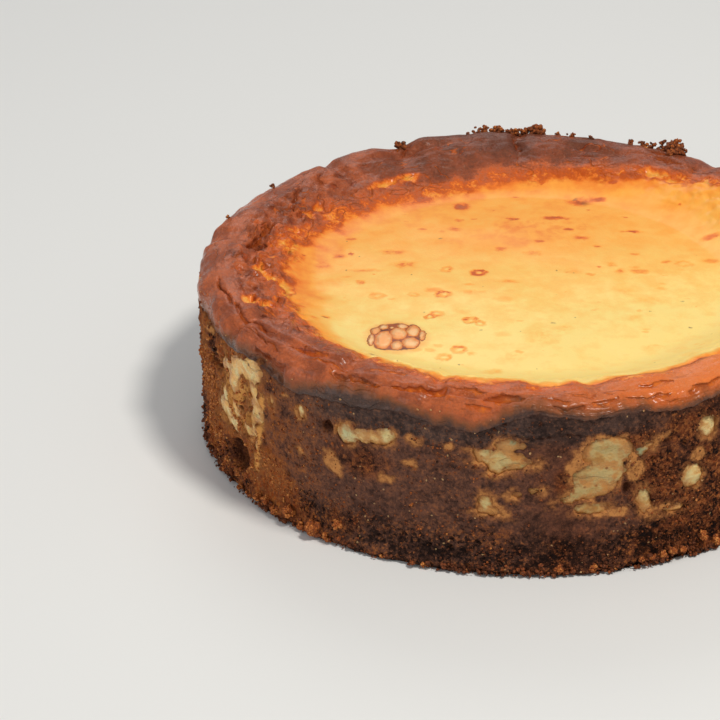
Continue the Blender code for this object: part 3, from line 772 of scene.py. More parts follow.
def custard_finish():
    """Pale custard, through gold and amber, to brown skin, with splits, bare spots and bubble marks."""
    shades = bpy.context.scene.cheesecake_colours
    finish = Finish("browned_custard")
    flat = finish.place * (1.0, 1.0, 0.0)
    finish.warped = flat + finish.sway(flat, 360.0, (0.0030, 0.0028, 0.0))

    browning = finish.attribute("browning")
    skin = finish.fade(browning, 0.38, 0.62)
    turning = finish.attribute("turning")
    coarse = finish.grain(0.0080, 3.0)
    middling = finish.grain(0.0030, 4.0, roughness=0.6)
    fine = finish.grain(0.0009, 3.0, roughness=0.6)
    tone = browning
    for source, plain, turned in ((coarse, 0.08, 0.16), (middling, 0.04, 0.20), (fine, 0.015, 0.10)):
        amount = plain + turning * turned
        wave = (source - 0.5) * amount
        tone += wave
    grain = fine - 0.5
    tone += grain * finish.fade(skin, 0, 1, 0.0, 0.07)
    plum = (coarse - 0.5) * finish.fade(skin, 0, 1, 0.0, 0.06)
    tone += plum

    on_dish = finish.fade(browning, 0.30, 0.52, 1.0, 0.0)
    rings = marks(finish, RING_MARKS, True)
    spots = marks(finish, SPOT_MARKS, False)
    patchy = finish.fade(middling, 0.2, 0.8, 0.6, 1.1)
    strongest = finish.math("MAXIMUM", rings, spots) * patchy
    strongest *= 0.86
    tone += strongest * on_dish
    tone += freckles(finish, on_dish)

    base = finish.colours(
        tone,
        (
            (0.0, shades.pale),
            (0.12, shades.creamy),
            (0.30, shades.golden),
            (0.44, shades.amber),
            (0.56, shades.rusty),
            (0.68, shades.russet),
            (0.82, shades.brown),
            (1.0, shades.scorched),
        ),
    )

    # Paler skin towards the right, partly the skin's own lighter colour and partly painted light that is
    # strongest on the crest
    paler_skin_and_painted_light = finish.attribute("paler_skin_and_painted_light") * skin
    base = finish.mix(paler_skin_and_painted_light, base, (0.92, 0.265, 0.066, 1))

    # Creases that run round the rim, and small pits on its inner slope
    rough_edge = (middling - 0.5) * 0.4
    across = finish.add("ShaderNodeCombineXYZ")
    finish.join(finish.attribute("along_profile"), across.inputs["Z"])
    round_rim = finish.vector("NORMALIZE", flat) * (0.045, 0.045, 0.0)
    flow = round_rim + Value(finish, across.outputs[0])
    flow += finish.sway(finish.place, 110.0, (0.0, 0.0, 0.0060))
    fold = finish.noise(0.0042, 1.6, place=flow, roughness=0.42)
    crease = finish.fade(abs(fold - 0.5), 0.0, 0.036, 1.0, 0.0)
    slope = finish.attribute("slope")
    crowded = finish.grain(0.0085, 2.0, place=flow) + slope * 0.35
    crease *= finish.fade(crowded, 0.62, 0.84)
    crease *= skin
    crease_shade = finish.mix(middling, (0.30, 0.045, 0.008, 1), (0.70, 0.145, 0.014, 1))
    base = finish.mix(crease * 0.85, base, crease_shade)
    away, pick = finish.cells(0.0034, place=flow)
    pitted = finish.fade(away + rough_edge, 0.10, 0.40, 1.0, 0.0)
    pitted *= finish.fade(pick[0], 0.55, 0.60)
    pitted *= skin * finish.fade(slope, 0.05, 0.6)
    # The pits run from dark crimson, painted shade in the hollows, to the red of the skin's own colour
    pit_red_and_painted_shade = finish.mix(pick[1], (0.11, 0.018, 0.006, 1), (0.46, 0.068, 0.008, 1))
    base = finish.mix(pitted * 0.85, base, pit_red_and_painted_shade)

    ember = finish.attribute("ember") * finish.fade(middling, 0.1, 0.7, 0.35, 1.0)
    base = finish.mix(ember, base, (0.50, 0.080, 0.003, 1))

    # Lifted skin, splits and the burnt lower edge
    bare = finish.attribute("bare") + rough_edge * 2.4
    base = finish.mix(finish.fade(bare, -1.5, 0.0, 0.0, 0.85), base, (0.52, 0.085, 0.010, 1))
    bare_shade = finish.mix(finish.fade(bare, 0.1, 1.2), shades.amber, shades.bare)
    base = finish.mix(finish.fade(bare, -0.5, 0.4), base, bare_shade)
    split = finish.attribute("split") + grain * 0.5
    opened = finish.fade(split, -0.25, 0.35)
    # The dark end holds painted shade under the overhanging skin as well as the darker red of splits that
    # don't glow
    hue = finish.mix(finish.attribute("orange"), (0.25, 0.044, 0.008, 1), shades.split)
    bright = finish.attribute("orange") * finish.fade(middling, 0.45, 0.9, 0.0, 0.6)
    hue = finish.mix(bright, hue, (0.86, 0.21, 0.016, 1))
    base = finish.mix(opened * 0.92, base, hue)
    # Painted shade in the crater hollows of the rim's inner slope
    dark = finish.attribute("crevice_painted_shade") + grain * 0.2
    base = finish.mix(finish.fade(dark, 0.25, 0.85, 0.0, 0.85), base, (0.13, 0.024, 0.006, 1))
    burnt = finish.attribute("above_burnt") + rough_edge * 3.0
    burnt += grain * 0.7
    base = finish.mix(finish.fade(burnt, 0.2, 4.2, 0.85, 0.0), base, (0.185, 0.066, 0.024, 1))
    base = finish.mix(finish.fade(burnt, -1.6, 1.6, 0.95, 0.0), base, shades.burnt)
    scorch = finish.fade(burnt, -0.5, 1.0, 1.0, 0.0) * finish.fade(fine, 0.55, 0.90)
    base = finish.mix(scorch * 0.40, base, shades.crumb_mid)

    # Tiny dark flecks
    away, pick = finish.cells(0.0062, place=finish.warped)
    fleck = finish.fade(away, 0.035, 0.085, 1.0, 0.0)
    fleck *= finish.fade(pick[0], 0.84, 0.90, 0.0, 0.7)
    dots = finish.math("MAXIMUM", marks(finish, DARK_MARKS, False), fleck * on_dish)
    base = finish.mix(dots, base, (0.17, 0.045, 0.015, 1))
    base, dome_rise = blister(finish, base, flat)
    side = finish.attribute("side")
    base = finish.mix(side, base, side_custard(finish))

    height = fine * finish.fade(skin, 0, 1, 0.00002, 0.00012)
    swells = middling * finish.fade(skin, 0, 1, 0.00004, 0.00022)
    height += swells
    fold_height = 0.0014 + slope * 0.0022
    folds = fold * (skin * fold_height)
    height += folds
    height += crease * -0.00045
    pebble = finish.cells(0.0026, "SMOOTH_F1", flow)[0]
    pebbled = finish.fade(pebble, 0.1, 0.8, 0.0006, 0.0) * slope
    height += pebbled
    height += pitted * -0.0007
    away, pick = finish.cells(0.0021, place=flow)
    drops = finish.fade(away, 0.0, 0.34, 0.00042, 0.0)
    drops *= finish.fade(pick[0], 0.60, 0.64)
    drops *= finish.fade(slope, 0.0, 0.6, 0.20, 1.0)
    height += drops * skin
    dents = strongest * -0.0006
    height += dents * on_dish
    height += opened * -0.0003
    finish.relief(height + dome_rise)
    gloss = finish.fade(finish.noise(0.0046, 3.0, place=flow), 0.40, 0.60, 0.46, 0.20)
    gloss = finish.math("MINIMUM", gloss, finish.fade(drops, 0.0, 0.00012, 0.46, 0.11))
    gloss = finish.fade(skin, 0.0, 1.0, 0.50, gloss)
    finish.set(
        Base_Color=base,
        Roughness=gloss,
        Subsurface_Weight=0.10,
        Subsurface_Radius=(1.0, 0.45, 0.2),
        Subsurface_Scale=0.0015,
        Specular_IOR_Level=0.18,
        Specular_Tint=(1.0, 0.80, 0.62, 1),
        Coat_Weight=0.20,
        Coat_Roughness=0.16,
    )
    return finish.material


def crumb_colours(finish, tone):
    shades = bpy.context.scene.cheesecake_colours
    return finish.colours(
        tone,
        (
            (0.0, shades.crumb_black),
            (0.24, shades.crumb_dark),
            (0.46, shades.crumb_mid),
            (0.62, shades.crumb_brown),
            (0.80, shades.crumb_rust),
            (1.0, shades.crumb_tan),
        ),
    )


def loose_finish():
    """Loose crumbs: the shade attribute picks each one's colour."""
    finish = Finish("loose_crumb")
    fine = finish.grain(0.0006, 3.0, roughness=0.65)
    wave = (fine - 0.5) * 0.42
    base = crumb_colours(finish, finish.attribute("shade") + wave)
    rusty = finish.fade(finish.attribute("shade"), 0.88, 0.93, 1.0, 0.0)
    base = finish.mix(rusty, base, (1.08, 0.74, 0.48, 1), "MULTIPLY")
    finish.relief(fine * 0.0003)
    finish.set(Base_Color=base, Roughness=0.55, Specular_IOR_Level=0.12)
    return finish.material


def crust_finish():
    """Pressed crumb, speckled from near black to rust and tan, and stained round its gaps."""
    shades = bpy.context.scene.cheesecake_colours
    finish = Finish("pressed_crumb")
    warped = finish.place + finish.sway(finish.place, 900.0, (0.0011, 0.0011, 0.0011))
    fine = finish.grain(0.0011, 5.0, roughness=0.72)
    dents = finish.grain(0.0015, 4.0, place=warped, roughness=0.68)
    patch = finish.grain(0.0042, 4.0, roughness=0.6)
    away, pick = finish.cells(0.0012, place=warped)
    contrast = finish.attribute("grain")
    tone = finish.attribute("tone")
    for source, plain, grainy in ((fine, 0.13, 0.12), (patch, 0.15, 0.18), (pick[0], 0.06, 0.18)):
        amount = plain + contrast * grainy
        wave = (source - 0.5) * amount
        tone += wave
    base = crumb_colours(finish, tone)
    # Warm tint: rust crumb colour, and in part painted warm light bounced up onto the right, left and foot
    rust_and_painted_bounce = finish.attribute("rust_and_painted_bounce")
    base = finish.mix(rust_and_painted_bounce, base, (1.12, 0.66, 0.36, 1), "MULTIPLY")
    # Painted reflection: a bluish tint on the dark band under the lip stands in for the blue surroundings
    # mirrored in the crust
    base = finish.mix(finish.attribute("painted_blue_reflection"), base, (0.74, 0.92, 1.05, 1), "MULTIPLY")
    lightness = (tone - 0.45) * 1.1
    rust = finish.fade(fine + lightness, 0.62, 0.82)
    rust *= finish.fade(contrast, 0.2, 0.8, 0.14, 0.9)
    shade = finish.mix(pick[1], (0.27, 0.095, 0.040, 1), (0.56, 0.180, 0.044, 1))
    base = finish.mix(rust, base, shade)
    pit = finish.fade(dents + lightness, 0.12, 0.30, 1.0, 0.0)
    pit *= finish.fade(contrast, 0.2, 0.8, 0.25, 0.95)
    base = finish.mix(pit, base, shades.crumb_black)
    rare = finish.fade(pick[2], 0.975, 0.985)
    rare *= finish.fade(away, 0.16, 0.36, 0.8, 0.0)
    base = finish.mix(rare, base, shades.crumb_tan)

    stain = finish.attribute("stain")
    ragged = (dents - 0.5) * 0.55
    stained = stain + ragged
    base = finish.mix(finish.fade(stained, 0.10, 0.75, 0.0, 0.75), base, (0.37, 0.135, 0.046, 1))
    base = finish.mix(finish.fade(stained, 0.55, 1.15, 0.0, 0.88), base, (0.62, 0.265, 0.078, 1))
    butter = finish.attribute("butter") + ragged * 1.3
    base = finish.mix(finish.fade(butter, 0.35, 0.95, 0.0, 0.8), base, (0.80, 0.36, 0.09, 1))
    # Painted shade: the holes, the seam and the strip just under the lip's overhang are painted dark, as if
    # shadowed
    deep = finish.attribute("deep")
    base = finish.mix(finish.fade(deep, 0.15, 1.0, 0.0, 0.80), base, (0.075, 0.020, 0.008, 1))

    lump = finish.fade(away, 0.0, 0.8, 0.00026, 0.0)
    height = fine * 0.00040 + lump
    height += patch * 0.0005
    height += pit * -0.0004
    calm = finish.fade(stain, 0.5, 1.0, 1.0, 0.35)
    amount = finish.fade(contrast, 0.1, 0.6, 0.75, 1.5) * calm
    finish.relief(height * amount)
    shine = finish.fade(dents, 0.80, 0.95, 0.72, 0.24)
    finish.set(Base_Color=base, Roughness=shine, Specular_IOR_Level=0.07)
    return finish.material


def custard_outline(sizes):
    """(radius, height) from the middle of the top, over the rim, down the side to the middle beneath."""
    radii = np.concatenate(
        [
            np.linspace(0.0, 0.062, 17),
            np.linspace(0.0640, 0.0840, 15),
            np.linspace(0.0848, sizes.crest_radius, 32),
        ]
    )
    share = np.clip((radii - sizes.floor_radius) / (sizes.crest_radius - sizes.floor_radius), 0, 1)
    heights = sizes.rim_height - sizes.dish_depth * (1 - np.sin(share * math.pi / 2) ** 2)
    outline = list(zip(radii.tolist(), heights.tolist()))
    end = sizes.lip_height + 0.0028
    for step in range(1, 37):
        turn = step / 36 * math.pi / 2
        radius = sizes.crest_radius + (sizes.cake_radius - sizes.crest_radius) * math.sin(turn)
        outline.append((radius, end + (sizes.rim_height - end) * math.cos(turn)))
    rises = (0.0023, 0.0018, 0.0013, 0.0008, 0.0003)
    outline += [(sizes.cake_radius, sizes.lip_height + rise) for rise in rises]
    side = sizes.cake_radius - SIDE_DEPTH
    outline += [(side, height) for height in np.linspace(sizes.lip_height, 0.0140, 27).tolist()]
    outline += [(side - 0.0006, 0.0074), (0.0, 0.0074)]
    return outline


def split_fields(azimuth, radius, places):
    """Depth of all splits of the skin, how far inside one each place is in mm, and how orange that one is,
    with painted shade towards its overhung inner side.
    """
    depth = np.zeros_like(radius)
    inside = np.full_like(radius, -3.0)
    orange = np.zeros_like(radius)
    wander = 0.0008 * noise_at(places, 0.006, 12.0) + 0.0005 * noise_at(places, 0.0022, 14.0)
    for first, start, last, end, half_width, deep, glow in SPLITS + unseen_splits():
        half_width = 0.8 * half_width
        low, high = min(first, last), max(first, last)
        near = np.abs(turn_between(azimuth, (low + high) / 2)) < (high - low) / 2 + 3.0
        if abs(last - first) < 4.0:
            along = (radius[near] - min(start, end)) / abs(end - start)
            bend = first + (last - first) * (along if end > start else 1 - along)
            across = np.radians(turn_between(azimuth[near], bend)) * radius[near] + wander[near]
        else:
            along = turn_between(azimuth[near], first) / (last - first)
            across = radius[near] - (start + (end - start) * along) + wander[near]
        ends = np.sin(np.clip(along, 0, 1) * math.pi) ** 0.6
        width = half_width * (0.35 + 0.85 * ends)
        # The inner skin hangs over the split, and its outer side rises slowly
        across = np.where(across > 0, across * 0.62, across * 1.7)
        reach = np.where(ends > 0.02, (width - np.abs(across)) * 1000, -3.0)
        cut = deep * (0.95 - 0.55 * glow)
        depth[near] = np.maximum(depth[near], cut * ramp(-0.3, 0.7, reach))
        closer = reach > inside[near]
        inside[near] = np.where(closer, reach, inside[near])
        # Painted shade: the inside of a split is darker towards its inner side, under the overhanging skin
        painted_overhang_light = 0.45 + 0.55 * ramp(-0.9, 0.1, across / width)
        orange[near] = np.where(closer, glow * painted_overhang_light, orange[near])
    return depth, inside, orange


def bare_field(azimuth, radius, places):
    """In mm, above 0 where the skin has lifted off the custard."""
    bare = np.full_like(radius, -3.0)
    for middle, level, half_along, half_across in BARE_SPOTS:
        along = np.radians(turn_between(azimuth, middle)) * radius / half_along
        across = (radius - level) / half_across
        reach = (1 - np.sqrt(along**2 + across**2)) * min(half_along, half_across) * 1000
        bare = np.maximum(bare, reach)
    return bare + 0.9 * noise_at(places, 0.0026, 41.0)


def unseen_splits():
    """Splits of like size where the view doesn't show the rim."""
    draw = np.random.default_rng(7)
    table = []
    for step in range(22):
        first = 38.0 + step * 6.1 + draw.uniform(-1.5, 1.5)
        start = draw.uniform(0.0965, 0.1080)
        table.append(
            (
                first,
                start,
                first + draw.uniform(4.5, 9.0),
                start + draw.uniform(-0.0012, 0.0012),
                draw.uniform(0.0006, 0.0011),
                draw.uniform(0.0009, 0.0017),
                draw.uniform(0.0, 0.9),
            )
        )
    return tuple(table)


def crowd_to_front(azimuth):
    """Brings the steps of a turned piece closer together on the side in view."""
    return azimuth - 17.0 * np.sin(np.radians(azimuth + 22.0))


def rim_drop(azimuth, radius):
    """Depth of the clefts and folds of the rim, as in the solid."""
    across = ramp(0.084, 0.096, radius)
    drop = np.zeros_like(radius)
    for middle, half_width, deep in CLEFTS:
        drop += deep * across * toward(azimuth, middle, half_width)
    wander = 0.0012 * ring_noise(azimuth, 4.0, 9.1)
    for first, last, middle, half_width, deep in FOLDS:
        along = bump(turn_between(azimuth, (first + last) / 2), (last - first) / 2)
        drop += deep * along**0.5 * bump(radius - middle - wander, half_width)
    return drop


def browned(places, azimuth, radius, inner, left):
    """How browned the top is, 0 for pale custard and 1 for scorched skin, where it is turning and where it
    glows orange."""
    edges = np.array(PALE_EDGE)
    pale_edge = np.interp(azimuth, edges[:, 0], edges[:, 1]) / 1000
    tongues = 0.35 + 1.1 * toward(azimuth, -100.0, 80.0)
    pale_edge += tongues * (0.0026 * noise_at(places, 0.012, 21.0) + 0.0024 * noise_at(places, 0.0055, 22.0))
    x, y = places[:, 0], places[:, 1]
    floor_tone = 0.29 * ramp(-0.062, 0.064, y) + 0.03 * ramp(-0.030, -0.078, x)
    floor_tone -= 0.06 * ramp(0.0, 0.07, x) * ramp(0.07, 0.0, y)
    band_bend = 0.003 * noise_at(places, 0.016, 71.0)
    floor_tone += 0.12 * bump(y - 0.028 + band_bend, 0.011) * bump(x + 0.003, 0.046)
    lightest = toward(azimuth, 40.0, 62.0)
    crown = 0.79 - 0.19 * lightest + 0.04 * noise_at(places, 0.016, 27.0)
    crown += 0.19 * toward(azimuth, 178.0, 60.0)
    crown -= 0.02 * toward(azimuth, -76.0, 44.0) * ramp(0.097, 0.102, radius)
    crown += 0.12 * inner * left * noise_at(places, 0.0042, 33.0)
    wide = 0.55 + 0.75 * toward(azimuth, -120.0, 110.0)
    wide += 0.55 * toward(azimuth, -84.0, 40.0) + 0.35 * toward(azimuth, 170.0, 36.0)
    beyond = (radius - pale_edge) / wide
    toasting = ramp(-0.0095, -0.0005, beyond)
    reddening = ramp(-0.0010, 0.0035, beyond)
    climb = ramp(0.0030, 0.0110, beyond)
    toasted = floor_tone + (0.36 - floor_tone) * toasting
    toasted += 0.17 * reddening
    back = toward(azimuth, 163.0, 26.0) + 0.4 * toward(azimuth, -164.0, 40.0)
    ember = back * ramp(-0.0004, 0.0016, beyond) * ramp(0.0068, 0.0036, beyond)
    return np.clip(toasted * (1 - climb) + crown * climb, 0.0, 1.0), reddening * (1 - climb), ember


def shape_custard(piece, sizes):
    """Sinks and swells the turned custard into its uneven dish and rim, and notes where it is browned."""
    mesh = piece.data
    places = places_of(mesh)
    radius = radius_of(places)
    height = places[:, 2]
    azimuth = crowd_to_front(azimuth_of(places))
    places = at(azimuth, radius, height)
    lip = sizes.lip_height
    top = (height > lip + 1e-5) | (radius < sizes.floor_radius + 0.02) & (height > 0.02)
    wall = ~top & (radius > sizes.cake_radius - 0.002)

    # The same swells, clefts and folds as the solid
    share = np.where(radius > sizes.crest_radius + 1e-5, (height - lip) / (sizes.rim_height - lip), 1.0)
    share = np.clip(share, 0.0, 1.0)
    edge_rise = lip_edge(azimuth) - lip
    on_rim = ramp(sizes.floor_radius, 0.092, radius)
    upper = ramp(0.0, 0.6, share)
    swell = 0.0016 * ring_noise(azimuth, 1.3, 2.0)
    lump = 0.0011 / 1.6 * noise_at(places, 0.011)
    rise = on_rim * upper * (swell + lump - rim_drop(azimuth, radius))
    for middle, spread, swell_height in SWELLS:
        away = np.hypot(places[:, 0] - middle[0], places[:, 1] - middle[1]) / spread
        rise += swell_height * np.exp(-(away**2))
    rise += 0.0005 / 1.6 * noise_at(places, 0.03) * (1 - on_rim)
    inward = ramp(sizes.floor_radius, sizes.crest_radius, radius)
    edge = ramp(sizes.crest_radius, sizes.cake_radius, radius)
    shift = inward * 0.0014 * ring_noise(azimuth, 1.7, 5.0) * (1 - edge)
    shift += edge * 0.0007 * ring_noise(azimuth, 7.0, 7.0)
    lobes = np.abs(ring_noise(azimuth, 11.0, 15.0))
    shift += edge * (0.0007 * ramp(0.0, 0.5, lobes) - 0.0005) * ramp(0.0, 0.25, share)
    lift = edge_rise * (1 - share) * (radius > sizes.crest_radius)
    shaped = at(azimuth, radius + shift * top, height + (rise + lift) * top)

    # The wall follows the lip's edge above, and stands out only where the crust has a gap
    stretch = 1 + edge_rise / (lip - 0.008) * ramp(0.008, lip, height)
    wall_height = 0.008 + (height - 0.008) * stretch
    gap = gap_field(at(azimuth, WALL_RADIUS, wall_height))
    lower = ramp(0.0, 0.002, lip - height)
    wall_radius = radius - 0.0052 * (1 - ramp(-2.4, -1.2, gap)) * lower
    wall_radius += lower * (0.00062 * ramp(-0.1, 0.9, gap) + 0.00016 * noise_at(places, 0.0035))
    shaped[wall] = at(azimuth, wall_radius, wall_height)[wall]
    move_to(mesh, shaped)

    # Fine relief along the surface's own normal
    normals = normals_of(mesh)
    depth, inside_split, orange = split_fields(azimuth, radius, shaped)
    bare = bare_field(azimuth, radius, shaped)
    rounds = at(azimuth, 9.0, (radius - height) / 0.0021)
    wrinkle = noise_at(rounds, 1.0)
    left = np.maximum(toward(azimuth, -90.0, 66.0), 0.55 * toward(azimuth, 110.0, 60.0))
    inner = ramp(0.076, 0.083, radius) * (1 - ramp(0.096, 0.101, radius))
    craters = cells_at(shaped, 0.0058, 5.0)
    pits = 0.0017 * ramp(0.40, 0.10, craters) * inner * (0.15 + left)
    rough = 0.00042 * noise_at(shaped, 0.0042) + 0.00030 * noise_at(shaped, 0.0017, 3.0)
    skin_on = ramp(0.076, 0.088, radius)
    front = toward(azimuth, -12.0, 36.0)
    fine = skin_on * (0.00016 * wrinkle + rough * (0.22 + 0.30 * front + 1.3 * inner * (0.25 + left)))
    fine -= pits + depth
    fine -= 0.0010 * ramp(-0.3, 0.8, bare) * inner
    fine += (1 - skin_on) * 0.00010 * noise_at(shaped, 0.012, 6.0)
    moved = shaped + normals * (fine * top * ramp(0.0, 0.12, share))[:, None]
    move_to(mesh, moved)

    # Painted shade in the hollows of the sunken craters
    pit_painted_shade = 0.55 * ramp(0.30, 0.05, craters) * inner * left
    above = moved[:, 2] - lip_edge(azimuth)
    ragged = 0.0010 * ring_noise(azimuth, 8.0, 51.0) + 0.0005 * ring_noise(azimuth, 24.0, 52.0)
    burnt_height = 0.0006 + 0.0020 * toward(azimuth, 0.5, 9.0) + ragged
    burnt_height += 0.0036 * toward(azimuth, -27.0, 16.0)
    browning, turning, ember = browned(shaped, azimuth, radius, inner, left)
    store(mesh, "browning", browning)
    store(mesh, "turning", turning * top)
    store(mesh, "ember", 0.8 * ember * top)
    store(mesh, "split", np.where(top, inside_split, -3.0))
    store(mesh, "orange", orange)
    store(mesh, "bare", np.where(top & (inner > 0.05), bare, -3.0))
    store(mesh, "crevice_painted_shade", pit_painted_shade * top)
    store(mesh, "above_burnt", np.where(top & (radius > 0.104), (above - burnt_height) * 1000, 9.0))
    beyond_crest = radius + sizes.rim_height - height
    store(mesh, "along_profile", np.where(radius > sizes.crest_radius, beyond_crest, radius))
    store(mesh, "slope", inner * (0.25 + left) * top)
    # Painted light: the pale tint grows towards the crest, so the lower lip is painted darker
    painted_crest_light = 0.30 + 0.70 * ramp(0.5, 0.9, share)
    store(mesh, "paler_skin_and_painted_light", 0.62 * toward(azimuth, 42.0, 44.0) * painted_crest_light * top)
    store(mesh, "side", wall.astype(float))
    store(mesh, "gap_edge", gap)
    greenish = toward(azimuth, -0.6, 7.5) * ramp(0.0435, 0.0455, wall_height)
    greenish = np.maximum(greenish, 0.8 * toward(azimuth, 20.0, 5.0) * ramp(0.037, 0.041, wall_height))
    greenish = np.maximum(greenish, 0.5 * toward(azimuth, -29.0, 3.5))
    store(mesh, "greenish", greenish)
    # Painted shade on the side custard, strongest towards the front
    store(mesh, "painted_front_shade", toward(azimuth, 8.0, 28.0))
    store(mesh, "toasted", toward(azimuth, -56.0, 18.0))


class CHEESECAKE_OT_custard(bpy.types.Operator):
    """Model the custard with its sunken dish and browned rim"""

    bl_idname = "cheesecake.custard"
    bl_label = "Custard"

    def execute(self, context):
        sizes = context.scene.cheesecake_sizes
        piece = turn_outline("custard", custard_outline(sizes), sizes.turns)
        shape_custard(piece, sizes)
        finish_piece(piece, custard_finish(), "cheese_filling")
        return {"FINISHED"}


def crust_outline(sizes):
    """(radius, height) from the middle of the crust's floor, over its wall, to the middle beneath."""
    inner = sizes.cake_radius - 0.0056
    outline = [(0.0, sizes.base_thickness), (inner, sizes.base_thickness)]
    outline += [(inner, CRUST_TOP - 0.0010), (sizes.cake_radius - 0.0030, CRUST_TOP)]
    outline += [(sizes.cake_radius, height) for height in np.linspace(CRUST_TOP, 0.0004, 88).tolist()]
    outline += [(sizes.cake_radius - 0.0006, 0.0), (0.0, 0.0)]
    return outline


def coarseness(azimuth, height):
    """How rough and loose the crumb is: most at the foot and on the left."""
    low = ramp(0.020, 0.009, height)
    left = 0.75 * toward(azimuth, -64.0, 38.0)
    right = 0.50 * toward(azimuth, 32.0, 24.0)
    unseen = 0.50 * ramp(75.0, 110.0, np.abs(turn_between(azimuth, -10.0)))
    uneven = 0.22 * ring_noise(azimuth, 3.0, 8.0)
    return np.clip(0.26 + 0.62 * low + left + right + unseen + uneven, 0.1, 1.5)


def wall_holes(azimuth, height, level):
    """How deep in a hole each place is, 0 to 1, and how far the wall sinks there."""
    deep = np.zeros_like(height)
    sunk = np.zeros_like(height)
    ragged = noise_at(level, 0.0026, 23.0)
    lumps = 1 - 0.45 * ramp(0.0, 0.6, noise_at(level, 0.0038, 47.0))
    lumps -= 0.15 * noise_at(level, 0.0017, 48.0)
    for middle, at_height, half_width, half_height, depth, tilt in HOLES:
        inside = ovals(azimuth, height, ((middle, at_height, half_width, half_height, tilt),))
        sink = ramp(-0.2, 1.0, inside + 0.5 * ragged)
        deep = np.maximum(deep, sink)
        sunk = np.maximum(sunk, depth / 1000 * sink * lumps)
    return deep, sunk


